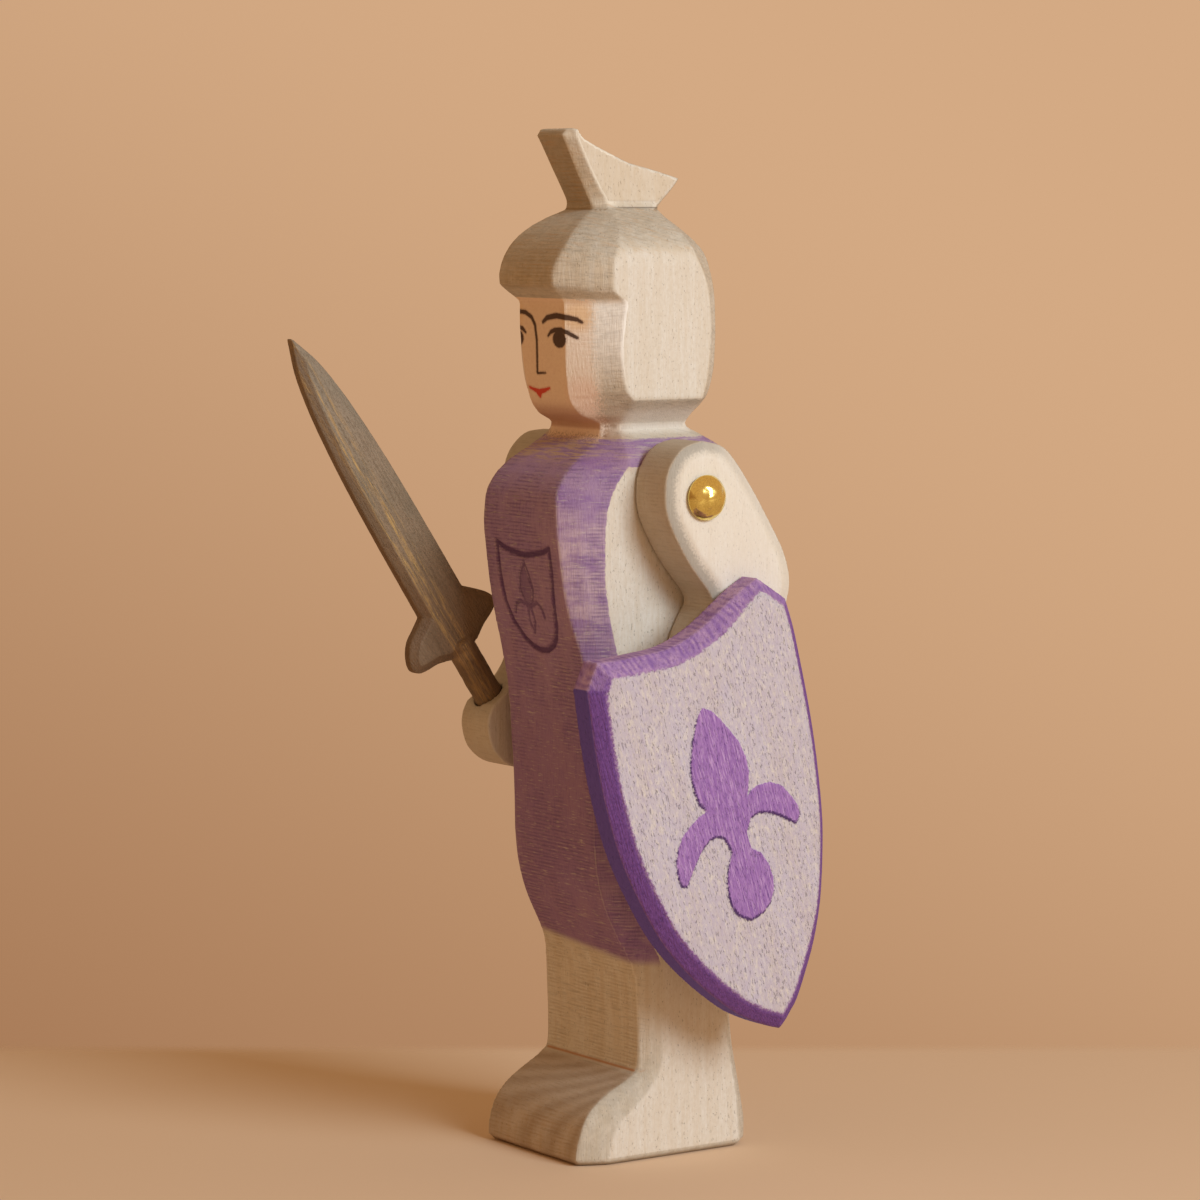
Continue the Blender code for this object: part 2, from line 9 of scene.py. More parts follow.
import bmesh
import bpy
import numpy as np
from bpy.props import FloatProperty, FloatVectorProperty, PointerProperty
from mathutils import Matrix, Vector, noise


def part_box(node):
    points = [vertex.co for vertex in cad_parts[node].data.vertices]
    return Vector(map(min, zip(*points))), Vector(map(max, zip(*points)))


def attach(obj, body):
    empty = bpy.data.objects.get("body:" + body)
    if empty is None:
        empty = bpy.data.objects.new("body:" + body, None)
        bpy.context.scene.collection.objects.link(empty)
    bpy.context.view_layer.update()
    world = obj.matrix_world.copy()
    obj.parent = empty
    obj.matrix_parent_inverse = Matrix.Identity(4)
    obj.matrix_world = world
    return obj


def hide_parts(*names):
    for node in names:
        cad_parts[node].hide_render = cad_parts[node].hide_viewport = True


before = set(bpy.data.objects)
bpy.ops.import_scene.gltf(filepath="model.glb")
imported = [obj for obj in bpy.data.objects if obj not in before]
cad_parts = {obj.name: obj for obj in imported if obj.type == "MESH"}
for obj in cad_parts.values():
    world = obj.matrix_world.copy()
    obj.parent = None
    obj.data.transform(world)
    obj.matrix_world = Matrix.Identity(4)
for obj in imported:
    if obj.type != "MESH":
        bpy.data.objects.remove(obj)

bl_info = {
    "name": "Wooden knight with turning arms",
    "version": (1, 0, 0),
    "blender": (4, 5, 0),
    "location": "View3D > Sidebar > Knight",
    "description": "Finishes the wooden knight: body, arms, shield, sword, nails and stage",
    "category": "Object",
}

MM = 0.001

# Paint on the front of the head and body: x, z and, for a stroke, half its width.
BROW_NEAR = ((0.3, 131.2, 0.26), (1.5, 131.9, 0.38), (4.0, 132.25, 0.42), (6.4, 132.05, 0.4),
             (7.8, 131.75, 0.32), (8.6, 131.3, 0.18))
NOSE_LINE = ((-6.2, 132.7, 0.3), (-4.6, 132.6, 0.32), (-2.9, 131.9, 0.32), (-1.95, 130.7, 0.3),
             (-1.7, 128.3, 0.26), (-1.85, 125.5, 0.24), (-2.15, 123.3, 0.24))
NOSTRIL = ((-2.15, 123.15, 0.17), (0.1, 123.25, 0.14))
BROW_FAR = ((-6.2, 132.7, 0.3), (-8.5, 132.5, 0.36), (-10.5, 131.9, 0.3), (-11.4, 131.3, 0.18))
LID_NEAR = ((1.6, 129.1, 0.2), (2.4, 129.7, 0.3), (3.5, 130.0, 0.34), (5.2, 130.1, 0.34),
            (6.6, 129.7, 0.32), (7.9, 128.9, 0.22))
LID_FAR = ((-4.8, 129.5, 0.22), (-5.6, 130.1, 0.3), (-6.7, 130.2, 0.34), (-8.2, 130.2, 0.34),
           (-9.7, 129.7, 0.3), (-10.9, 128.9, 0.2))
PUPIL_NEAR = (4.6, 128.6)
PUPIL_FAR = (-7.2, 128.6)
PUPIL_HALF = (1.75, 1.3)
MOUTH_LINE = ((-5.0, 120.85, 0.22), (-3.8, 120.5, 0.34), (-2.4, 120.2, 0.45), (-0.9, 120.5, 0.36),
              (0.7, 120.9, 0.22))
MOUTH_DROP = ((-3.6, 120.3), (-1.3, 120.4), (-2.0, 119.6), (-2.55, 119.15), (-3.1, 119.6))
FACE_EDGE = ((-10.0, 136.0), (-10.2, 121.0), (-9.2, 118.5), (-7.5, 116.0), (-7.2, 113.2),
             (7.2, 113.2), (7.5, 116.0), (9.2, 118.5), (10.2, 121.0), (10.0, 136.0))

# Pressed line of the little shield on the chest, and the lily in it: x, z.
CREST_LINE = ((-7.1, 96.7), (-5.2, 95.95), (-3.3, 95.5), (0.3, 95.0), (3.7, 95.4), (5.7, 95.8),
              (7.5, 96.4), (7.6, 92.4), (7.1, 88.4), (6.5, 84.4), (5.5, 82.3), (4.2, 81.0),
              (2.3, 80.1), (0.3, 79.9), (-1.7, 80.4), (-3.5, 81.5), (-5.6, 84.2), (-6.7, 87.3),
              (-7.0, 91.3), (-7.1, 96.7))
SPRIG_PETAL = ((0.1, 93.9), (1.1, 91.9), (1.7, 89.7), (1.1, 87.8), (0.3, 86.9), (-0.8, 87.4),
               (-1.9, 89.4), (-1.3, 91.9), (0.1, 93.9))
SPRIG_ARMS = ((-4.4, 85.7), (-3.7, 87.1), (-2.2, 87.6), (-0.5, 86.9), (0.5, 86.9), (2.1, 87.6),
              (3.2, 86.9), (3.7, 85.4))
SPRIG_STEM = ((-0.4, 86.9), (-0.9, 84.6), (-0.3, 82.7), (0.6, 84.5), (0.3, 86.9))

# Lily on the shield, in the shield's own frame: toward the back, upward from near its tip.
SHIELD_TIP = (7.5, 21.4)
SHIELD_TILT = math.radians(16.0)
LILY = ((-0.6, 53.9), (0.9, 52.9), (2.0, 51.3), (3.3, 49.0), (4.6, 46.4), (5.2, 43.6), (5.1, 41.3),
        (4.2, 38.7), (3.7, 37.7), (4.7, 38.5), (6.0, 38.8), (8.3, 38.5), (10.4, 37.2),
        (11.7, 35.0), (12.6, 32.9), (12.5, 31.4), (11.4, 30.3), (10.3, 31.3), (8.7, 32.7),
        (7.0, 33.8), (5.2, 34.5), (3.5, 34.3), (2.2, 32.5), (2.2, 30.9), (2.4, 29.7), (3.9, 28.4),
        (4.8, 26.2), (5.0, 23.8), (4.6, 21.9), (3.4, 20.2), (1.7, 19.2), (-0.6, 18.9),
        (-1.5, 19.3), (-2.8, 20.3), (-3.7, 22.2), (-3.8, 24.4), (-3.4, 26.7), (-2.4, 28.8),
        (-1.4, 30.4), (-1.7, 31.3), (-2.2, 32.9), (-3.2, 33.6), (-4.8, 33.7), (-6.4, 32.8),
        (-7.9, 31.4), (-9.4, 29.8), (-10.8, 28.2), (-11.7, 28.6), (-12.0, 30.3), (-11.8, 32.4),
        (-10.8, 34.5), (-9.6, 36.0), (-7.9, 37.0), (-5.7, 38.0), (-4.3, 38.2), (-5.2, 39.6),
        (-5.5, 41.5), (-5.6, 43.7), (-5.1, 46.2), (-3.9, 49.1), (-2.7, 51.4), (-1.6, 53.1))

# Sword: where the guard crosses the blade, and how far the point leans forward.
SWORD_GUARD = (-24.3, 86.8)
SWORD_TILT = math.radians(32.9)

# Depth of the bevel round an arm's outer face.
ARM_BEVEL = 0.95

# Heights on the body where its stains and paints change.
SOLE_RIM = 0.5
FOOT_TOP = 13.6
ANKLE_CUT = (13.2, 14.9)
SHIN = 18.0
WAIST = 72.0
ARM_TOP = 109.0
SHOULDER_TOP = 109.8
TUNIC_TOP = 113.3
NECK = (114.0, 117.6)
CHIN = 118.0
FACE_TOP = 134.9
HELMET_EDGE = 135.5
PLUME_CUT = (148.78, 149.0)
PLUME = 149.2

# Distances between lines and rings in the wood, and the heart of the tree the rings go round.
DRUM_PITCH = 0.58
FOOT_RINGS = 2.6
SHIELD_RINGS = 1.1
TREE_HEART = (20.0, -34.0, 0.0)

# Cell sizes of the finer copies, and how many times a cell is cut where fine detail goes.
BODY_CELL = 0.52
ARM_CELL = 0.36
SHIELD_CELL = 0.42
SWORD_CELL = 0.27
DETAIL_CUTS = 2

# Sword, along it from the guard: where the grip darkens, and the rough part of the grip.
GRIP_DARKENS = -9.2
GRIP_ROUGH = (-17.5, -9.0)

# Camera, from the photograph's perspective.
CAMERA_AT = (0.557, -0.390, 0.150)
CAMERA_LOOKS_AT = (-0.0005, -0.0059, 0.0871)
CAMERA_LENS = 129.0

# Lamp: degrees from the figure's left side toward its back, and up.
LAMP_TURNED = 9.0
LAMP_RAISED = 25.0
LAMP_LOOKS_AT = (0.0, 0.0, 0.08)
LAMP_WATTS = 7.4

# Floor, in metres: its radius, where it fades all round, and where it ends behind the figure.
FLOOR_RADIUS = 0.9
FLOOR_FADES = (0.45, 0.88)
FLOOR_ENDS = (0.068, 0.078)


def srgb(code):
    """Linear colour of a hex code."""
    parts = [int(code[i:i + 2], 16) / 255 for i in (1, 3, 5)]
    return tuple(p / 12.92 if p <= 0.04045 else ((p + 0.055) / 1.055) ** 2.4 for p in parts)


def colour(name, code, description):
    return FloatVectorProperty(name=name, description=description, subtype="COLOR", size=3,
                               min=0.0, max=1.0, default=srgb(code))


def length(name, millimetres, description):
    return FloatProperty(name=name, description=description, unit="LENGTH", min=0.0,
                         default=millimetres * MM)


class KnightSizes(bpy.types.PropertyGroup):
    crest_line: length("Crest line", 1.05, "Width of the line pressed into the chest")
    crest_depth: length("Crest depth", 0.38, "Depth of the line pressed into the chest")
    sprig_line: length("Small lily line", 0.8, "Width of the lily's line inside the crest")
    hem_height: length("Hem", 31.7, "Height of the tunic's lower edge")
    lily_relief: length("Lily relief", 0.14, "How far the lily's paint stands up from the shield")
    unevenness: length("Unevenness", 0.14, "How far hand sanding wanders from the flat")
    nail_head: length("Nail head", 2.45, "Height of a nail's domed head")
    lamp: length("Lamp", 420.0, "Side of the square studio lamp")


class KnightColours(bpy.types.PropertyGroup):
    maple: colour("Maple", "#e0d7c8", "Sanded maple along the grain")
    maple_warm: colour("Maple streak", "#d0bb9c", "Warmer streaks in the maple")
    maple_grey: colour("Maple end grain", "#c3bbad", "End grain and sanded bevels")
    tunic: colour("Tunic stain", "#9f7ea8", "Water stain on the tunic")
    crest: colour("Crest line", "#45205c", "Stain pooled in the pressed line")
    skin: colour("Skin", "#fadbbd", "Paint on the face")
    cheek: colour("Cheek", "#f7cbb2", "Blush on the cheeks")
    ink: colour("Face lines", "#3d2519", "Brush lines of brows, eyes and nose")
    lips: colour("Lips", "#d8341c", "Paint on the mouth")
    shield: colour("Shield face", "#cdc5cd", "Thin white stain on the shield's face")
    shield_edge: colour("Shield edge", "#7d529c", "Stain on the shield's bevel and edge")
    lily: colour("Lily", "#ad82c0", "Stain of the lily")
    sword: colour("Sword", "#97826a", "Dark stained wood of the sword")
    sword_streak: colour("Sword streak", "#c09a62", "Light streaks in the sword's grain")
    brass: colour("Brass", "#f4e38a", "Polished brass of the nails")
    floor: colour("Floor", "#ecceae", "Plain pale floor")
    backdrop: colour("Backdrop", "#d4aa84", "Plain backdrop")
    backdrop_low: colour("Backdrop, far side", "#a57855", "Backdrop away from the lamp")
    lamp: colour("Lamp", "#e7f5ff", "Light of the studio lamp")
    shade_light: colour("Shade light", "#aa8965", "Soft light that fills the shade")


# ---------------------------------------------------------------------------------------------
# Shape


def solid(name):
    """A node's solid as a merged bmesh in millimetres."""
    bm = bmesh.new()
    bm.from_mesh(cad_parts[name].data)
    bmesh.ops.scale(bm, vec=(1 / MM,) * 3, verts=bm.verts)
    bmesh.ops.remove_doubles(bm, verts=bm.verts, dist=1e-3)
    return bm


def fine_copy(name, cell):
    """A node's solid rebuilt in even cells that keep its arrises, as a bmesh in millimetres."""
    bm = solid(name)
    rough = bpy.data.meshes.new(name + "_rough")
    bm.to_mesh(rough)
    bm.free()
    helper = bpy.data.objects.new(name + "_rough", rough)
    bpy.context.scene.collection.objects.link(helper)
    size = max(helper.dimensions)
    remesh = helper.modifiers.new("cells", "REMESH")
    remesh.mode = "SHARP"
    remesh.octree_depth = math.ceil(math.log2(size / (0.98 * cell)))
    remesh.scale = size / (cell * 2 ** remesh.octree_depth)
    graph = bpy.context.evaluated_depsgraph_get()
    even = bpy.data.meshes.new_from_object(helper.evaluated_get(graph))
    bm = bmesh.new()
    bm.from_mesh(even)
    bpy.data.objects.remove(helper)
    bpy.data.meshes.remove(rough)
    bpy.data.meshes.remove(even)
    if not bm.faces or any(len(edge.link_faces) != 2 for edge in bm.edges):
        raise RuntimeError(f"{name} came out empty or open")
    return bm


def refine(bm, inside, cuts):
    """Smaller cells where fine detail goes."""
    edges = [e for e in bm.edges if inside(e.verts[0].co) and inside(e.verts[1].co)]
    bmesh.ops.subdivide_edges(bm, edges=edges, cuts=cuts, use_grid_fill=True)


def sand(bm, passes):
    """Softens every arris a little, and notes where: positive on an arris, negative in a crease."""
    bm.normal_update()
    before = [(v.co.copy(), v.normal.copy()) for v in bm.verts]
    for _ in range(passes):
        bmesh.ops.smooth_vert(bm, verts=bm.verts, factor=0.5, use_axis_x=True, use_axis_y=True,
                              use_axis_z=True)
    layer = bm.verts.layers.float.new("arris")
    for vert, (co, normal) in zip(bm.verts, before):
        vert[layer] = (co - vert.co).dot(normal)


def wander(bm, amount, size, seed):
    """Low waves left by hand sanding, inwards only, so no piece grows."""
    bm.normal_update()
    for vert in bm.verts:
        wave = noise.noise(Vector((vert.co.x + seed, vert.co.y, vert.co.z * 0.6)) / size)
        vert.co -= vert.normal * amount * (0.5 + 0.5 * wave)


def finish(bm, name, body, node, material):
    """Turns a bmesh in millimetres into a finished piece that stands for a node."""
    bmesh.ops.scale(bm, vec=(MM,) * 3, verts=bm.verts)
    mesh = bpy.data.meshes.new(name)
    bm.to_mesh(mesh)
    bm.free()
    mesh.shade_smooth()
    mesh.materials.append(material)
    piece = bpy.data.objects.new(name, mesh)
    bpy.context.scene.collection.objects.link(piece)
    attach(piece, body)
    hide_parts(node)


def points_of(bm):
    return np.array([vert.co[:] for vert in bm.verts])


def mark(bm, name, values):
    """Keeps one number per vertex for the material."""
    layer = bm.verts.layers.float.get(name) or bm.verts.layers.float.new(name)
    for vert, value in zip(bm.verts, values):
        vert[layer] = value


def nearest(points, starts, ends):
    """Distance to the nearest of some straight legs, which leg, and where along it."""
    legs = ends - starts
    gaps = points[:, None, :] - starts[None]
    along = np.clip((gaps * legs).sum(2) / (legs ** 2).sum(1), 0, 1)
    away = np.linalg.norm(gaps - along[:, :, None] * legs, axis=2)
    leg = away.argmin(1)
    every = np.arange(len(points))
    return away[every, leg], leg, along[every, leg]


def within_edges(points, starts, ends):
    """Signed distance to closed outlines given as legs, positive inside."""
    away = nearest(points, starts, ends)[0]
    inside = np.zeros(len(points), bool)
    for (ax, ay), (bx, by) in zip(starts, ends):
        crosses = (ay > points[:, 1]) != (by > points[:, 1])
        if crosses.any():
            inside ^= crosses & (points[:, 0] < ax + (points[:, 1] - ay) / (by - ay) * (bx - ax))
    return np.where(inside, away, -away)


def within_outline(points, outline):
    """Signed distance to one closed outline, positive inside."""
    corners = np.array(outline)
    return within_edges(points, corners, np.roll(corners, -1, axis=0))


def within_stroke(points, stroke, half=None):
    """How far inside a brush stroke each point is; the stroke's own half widths run along it."""
    line = np.array(stroke)
    away, leg, along = nearest(points, line[:-1, :2], line[1:, :2])
    if half is None:
        half = line[leg, 2] * (1 - along) + line[leg + 1, 2] * along
    return half - away


def rim_of(name, side):
    """Edges round a board's flat outer face, from its solid: y, z of both ends."""
    bm = solid(name)
    outer = max(vert.co.x * side for vert in bm.verts)

    def flat(face):
        return all(vert.co.x * side > outer - 0.01 for vert in face.verts)

    legs = np.array([[vert.co[1:] for vert in edge.verts] for edge in bm.edges
                     if sum(flat(face) for face in edge.link_faces) == 1])
    bm.free()
    return legs[:, 0], legs[:, 1]


def own_frame(points, zero, tilt):
    """Places of a tilted board in its own frame: toward the back, upward."""
    y, z = points[:, 1] - zero[0], points[:, 2] - zero[1]
    cos, sin = math.cos(tilt), math.sin(tilt)
    return np.stack((y * cos + z * sin, -y * sin + z * cos), 1)


# ---------------------------------------------------------------------------------------------
# Material nodes


def node(tree, kind, feeds=None, **settings):
    """Adds one node. feeds maps a socket's name or number to a value or to what feeds it."""
    made = tree.nodes.new(kind)
    for key, value in settings.items():
        setattr(made, key, value)
    for key, value in (feeds or {}).items():
        if isinstance(value, bpy.types.NodeSocket):
            tree.links.new(value, made.inputs[key])
        else:
            made.inputs[key].default_value = value
    return made


def blank(name):
    material = bpy.data.materials.new(name)
    material.use_nodes = True
    tree = material.node_tree
    tree.nodes.clear()
    return material, tree


def rgba(value):
    """A colour as a socket takes it, from a hex code or a panel colour."""
    return (*(srgb(value) if isinstance(value, str) else value), 1.0)


def coats(tree, base, *layers):
    """Lays coats over a colour, in order: each is a colour and the masks that bound it."""
    for over, *masks in layers:
        cover = masks[0]
        for mask in masks[1:]:
            cover = node(tree, "ShaderNodeMath", {0: cover, 1: mask},
                         operation="MULTIPLY").outputs[0]
        base = node(tree, "ShaderNodeMix", {0: cover, 6: base, 7: over},
                    data_type="RGBA").outputs[2]
    return base


def grain_space(tree, tilt=0.0, seed=0.0):
    """Object coordinates in millimetres, turned so that Z runs along the grain."""
    spot = node(tree, "ShaderNodeTexCoord").outputs["Object"]
    return node(tree, "ShaderNodeMapping", {"Vector": spot, "Scale": (1 / MM,) * 3,
                                            "Rotation": (-tilt, 0.0, 0.0),
                                            "Location": (seed, seed * 0.7, seed * 1.3)}).outputs[0]


def speckle(tree, at, across, along, low, high, detail=3.0):
    """Noise drawn out along the grain, cut to 0..1 between two of its values. Sizes in mm."""
    stretched = node(tree, "ShaderNodeVectorMath",
                     {0: at, 1: (1 / across, 1 / across, 1 / along)},
                     operation="MULTIPLY").outputs[0]
    value = node(tree, "ShaderNodeTexNoise", {"Vector": stretched, "Scale": 1.0, "Detail": detail,
                                              "Roughness": 0.6}).outputs[0]
    return node(tree, "ShaderNodeMapRange", {0: value, 1: low, 2: high},
                interpolation_type="SMOOTHSTEP").outputs[0]


def facing(tree, axis, low, high):
    """1 where the surface faces along an axis of the piece, either way."""
    normal = node(tree, "ShaderNodeTexCoord").outputs["Normal"]
    part = node(tree, "ShaderNodeSeparateXYZ", {0: normal}).outputs[axis]
    size = node(tree, "ShaderNodeMath", {0: part}, operation="ABSOLUTE").outputs[0]
    return node(tree, "ShaderNodeMapRange", {0: size, 1: low, 2: high},
                interpolation_type="SMOOTHSTEP").outputs[0]


def wave_scale(pitch):
    """Scale of a wave texture whose lines lie pitch apart, in mm."""
    return math.tau / (20 * pitch)


def drum_lines(tree, at, low):
    """Fine level lines left by the sanding drum on the front and back, which waver and fade.
    low is how little a face may still face forward to carry them."""
    flat = node(tree, "ShaderNodeVectorMath", {0: at, 1: (0.03, 0.03, 1.0)},
                operation="MULTIPLY").outputs[0]
    lines = node(tree, "ShaderNodeTexWave",
                 {"Vector": flat, "Scale": wave_scale(DRUM_PITCH), "Distortion": 3.2,
                  "Detail": 3.0, "Detail Scale": 1.4}, wave_type="BANDS",
                 bands_direction="Z").outputs[1]
    for fade in (facing(tree, 1, low, low + 0.3), speckle(tree, at, 6.0, 12.0, 0.38, 0.6),
                 speckle(tree, at, 2.5, 0.5, 0.3, 0.55)):
        lines = node(tree, "ShaderNodeMath", {0: lines, 1: fade}, operation="MULTIPLY").outputs[0]
    return lines


def scratches(tree, at, slant, low, high):
    """Fine slanting scratches left by sandpaper held in the hand."""
    turned = node(tree, "ShaderNodeMapping",
                  {"Vector": at, "Rotation": (math.radians(slant), 0, 0)}).outputs[0]
    return speckle(tree, turned, 3.5, 0.24, low, high)


def marked(tree, name, low, high, ragged=None, reach=0.0):
    """0..1 across a kept number, its border roughened by a pattern as far as reach in mm."""
    value = node(tree, "ShaderNodeAttribute", attribute_name=name).outputs["Fac"]
    if ragged is not None:
        rough = node(tree, "ShaderNodeMapRange", {0: ragged, 3: -reach, 4: reach}).outputs[0]
        value = node(tree, "ShaderNodeMath", {0: value, 1: rough}, operation="ADD").outputs[0]
    return node(tree, "ShaderNodeMapRange", {0: value, 1: low, 2: high},
                interpolation_type="SMOOTHSTEP").outputs[0]


def above(tree, at, axis, place, soft):
    """1 beyond a place along an axis, in mm; a negative soft turns it round."""
    part = node(tree, "ShaderNodeSeparateXYZ", {0: at}).outputs[axis]
    return node(tree, "ShaderNodeMapRange", {0: part, 1: place - soft, 2: place + soft},
                interpolation_type="SMOOTHSTEP").outputs[0]


def sanded_maple(tree, at, hues):
    """Colour and height of sanded maple: pale, with warm streaks along the grain, short dark
    pores, drum lines across the front and back, and greyer, matter end grain; painted light on
    the flat sides, pale arrises that are partly wear and partly painted highlight, and painted
    shade in creases."""
    streak = speckle(tree, at, 1.6, 34.0, 0.36, 0.66, 5.0)
    fibre = speckle(tree, at, 0.26, 3.2, 0.3, 0.72)
    mottle = speckle(tree, at, 0.55, 0.8, 0.36, 0.66)
    # Real pores are 0.05 mm wide, too fine to show, so they are drawn as 0.2 mm ticks.
    pore = speckle(tree, at, 0.28, 0.6, 0.63, 0.71, 2.0)
    lines = drum_lines(tree, at, 0.6)
    base = coats(tree, rgba(hues.maple),
                 (rgba(hues.maple_warm), streak, 0.5),
                 (rgba(hues.maple_grey), facing(tree, 2, 0.1, 0.75), 0.6),
                 # Painted light: a paler, cooler coat on the flat sides, where the lamp lights
                 # them.
                 (rgba("#f1ede6"), facing(tree, 0, 0.94, 0.99), 0.35),
                 (rgba(hues.maple_warm), fibre, 0.24),
                 (rgba("#c9b79c"), mottle, 0.24),
                 (rgba("#8d8272"), scratches(tree, at, 12.0, 0.48, 0.72),
                  facing(tree, 0, 0.94, 0.8), 0.35),
                 (rgba("#7c6d58"), pore, 0.5),
                 (rgba("#a98b62"), lines, 0.35),
                 # Pale line on arrises: partly sanding wear, partly a painted highlight.
                 (rgba("#f0e8da"), marked(tree, "arris", 0.03, 0.12), 0.45),
                 # Painted shade: darker in creases.
                 (rgba("#86663f"), marked(tree, "arris", -0.02, -0.1), 0.55))
    height = fibre
    for cut in (lines, pore):
        height = node(tree, "ShaderNodeMath", {0: height, 1: cut}, operation="SUBTRACT").outputs[0]
    return base, height


def finish_wood(tree, base, height, roughness, depth=0.05, strength=0.6):
    """Ends a wood material: dull, with its relief in mm."""
    bump = node(tree, "ShaderNodeBump", {"Height": height, "Strength": strength,
                                         "Distance": depth * MM}).outputs[0]
    shader = node(tree, "ShaderNodeBsdfPrincipled",
                  {"Base Color": base, "Roughness": roughness, "IOR": 1.45, "Normal": bump,
                   "Specular IOR Level": 0.3})
    node(tree, "ShaderNodeOutputMaterial", {"Surface": shader.outputs[0]})


def painted_maple(hues):
    """Maple, sawn and drum-sanded, part stained and part painted: bare wood at helmet, sides and
    legs, a thin violet water stain that lets the grain and sanding lines show, and face paint."""
    material, tree = blank("maple_sawn_sanded_stained")
    at = grain_space(tree)
    base, height = sanded_maple(tree, at, hues)
    ragged = speckle(tree, at, 0.5, 0.9, 0.3, 0.7)
    fuzz = speckle(tree, at, 0.35, 0.35, 0.3, 0.7)
    mottle = speckle(tree, at, 1.3, 1.3, 0.38, 0.62)
    front = facing(tree, 1, 0.55, 0.85)
    chamfer = node(tree, "ShaderNodeMath",
                   {0: facing(tree, 0, 0.2, 0.35), 1: facing(tree, 0, 0.99, 0.96)},
                   operation="MULTIPLY").outputs[0]

    # Sawn foot, in front: year rings.
    centre = node(tree, "ShaderNodeVectorMath", {0: at, 1: TREE_HEART}, operation="ADD").outputs[0]
    rings = node(tree, "ShaderNodeTexWave",
                 {"Vector": centre, "Scale": wave_scale(FOOT_RINGS), "Distortion": 5.0,
                  "Detail": 2.0, "Detail Scale": 0.25}, wave_type="RINGS",
                 rings_direction="Z").outputs[1]
    foot = node(tree, "ShaderNodeMath",
                {0: above(tree, at, 2, FOOT_TOP, -0.5), 1: above(tree, at, 1, -7.0, -1.0)},
                operation="MULTIPLY").outputs[0]
    level = facing(tree, 0, 0.6, 0.3)
    low = above(tree, at, 2, SHIN, -5.0)
    plume = above(tree, at, 2, PLUME, 0.4)
    before = above(tree, at, 1, -9.0, -3.0)
    base = coats(
        tree, base,
        (rgba("#a0703c"), foot, level, 0.36),
        (rgba("#80603c"), rings, foot, level, 0.3),
        # Grey, mottled chamfers low on the legs: partly the wood's own mottle, partly painted
        # shade.
        (rgba("#b3a793"), chamfer, low, 0.34),
        (rgba("#978b77"), mottle, chamfer, low, 0.2),
        # Warm line in the ankle's saw cut. Painted shade: a dark line in the kerf at the foot of
        # the plume and along the rim of the sole.
        (rgba("#b8763e"), marked(tree, "arris", -0.01, -0.08),
         above(tree, at, 2, ANKLE_CUT[0], 0.4), above(tree, at, 2, ANKLE_CUT[1], -0.4), 0.75),
        (rgba("#4d4036"), above(tree, at, 2, PLUME_CUT[0], 0.08),
         above(tree, at, 2, PLUME_CUT[1], -0.08), above(tree, at, 1, -7.0, 2.0), 0.65),
        (rgba("#8a6a48"), above(tree, at, 2, SOLE_RIM, -0.3), 0.6),
        # Head: painted shade, browner on the front of the helmet and plume; painted light, paler on
        # the plume's chamfer and on the chamfers beside the face; warmer on the plume's flat sides;
        # grey mottle and slanting scratches.
        (rgba("#ad8855"), front, above(tree, at, 2, HELMET_EDGE, 0.6), 0.38),
        (rgba("#5f4f3c"), front, plume, 0.15),
        (rgba("#f6ead6"), chamfer, plume, above(tree, at, 1, -7.0, -1.0), 0.6),
        (rgba("#c9a878"), facing(tree, 0, 0.97, 0.99), plume, 0.3),
        (rgba("#fdf7ee"), chamfer, above(tree, at, 2, 124.0, 5.0), above(tree, at, 2, 134.8, -0.4),
         above(tree, at, 1, -5.0, -3.0), 0.9),
        (rgba("#8f8676"), mottle, facing(tree, 0, 0.97, 0.7), above(tree, at, 2, CHIN, 1.0), 0.16),
        (rgba("#857b6b"), scratches(tree, at, -10.0, 0.4, 0.7), facing(tree, 0, 0.97, 0.7),
         above(tree, at, 2, 115.0, 1.0), 0.18),
        (rgba("#c8955a"), scratches(tree, at, 20.0, 0.5, 0.7), facing(tree, 2, 0.1, 0.4),
         above(tree, at, 2, 138.0, 1.0), 0.3),
        # Reddish brown on the front of the shoulders and neck: partly their colour, partly painted
        # shade under the chin. The neck is paler above, with painted shade in the crease at its
        # foot.
        (rgba("#a8673a"), above(tree, at, 2, 108.6, 1.2), above(tree, at, 2, 116.4, -0.7),
         before, 0.5),
        (rgba("#f4eee4"), above(tree, at, 2, NECK[0], 0.6), above(tree, at, 2, NECK[1], -0.8),
         above(tree, at, 1, -9.0, 2.0), 0.45),
        (rgba("#5e3a1e"), marked(tree, "arris", -0.02, -0.1), above(tree, at, 2, 111.5, 0.8),
         above(tree, at, 2, 115.0, -0.8), before, 0.6))

    # Tunic: stain soaks in unevenly, runs darker between the drum's lines, and wears on arrises.
    lines = drum_lines(tree, at, 0.2)
    stain = coats(tree, rgba(hues.tunic),
                  (rgba("#ab88a0"), speckle(tree, at, 6.0, 9.0, 0.3, 0.7), 0.6),
                  (rgba("#784775"), front, above(tree, at, 2, WAIST, -14.0), 0.4),
                  # Paler pink on the chest's chamfers: partly worn stain, partly painted light.
                  (rgba("#d8bdc3"), chamfer, above(tree, at, 2, 101.0, -5.0),
                   above(tree, at, 2, 84.0, 6.0), speckle(tree, at, 5.0, 1.6, 0.3, 0.6), 0.7),
                  (rgba("#7a4b9c"), chamfer, speckle(tree, at, 6.0, 2.2, 0.4, 0.7), 0.5),
                  (rgba("#5c3d74"), lines, 0.55),
                  (rgba("#6f468a"), speckle(tree, at, 0.3, 2.0, 0.46, 0.75), 0.42))
    tick = speckle(tree, at, 2.2, 0.22, 0.56, 0.7)
    thin = node(tree, "ShaderNodeMapRange", {0: tick, 3: 0.94, 4: 0.5}).outputs[0]
    worn = node(tree, "ShaderNodeMapRange",
                {0: marked(tree, "arris", 0.04, 0.13), 3: 1.0, 4: 0.6}).outputs[0]
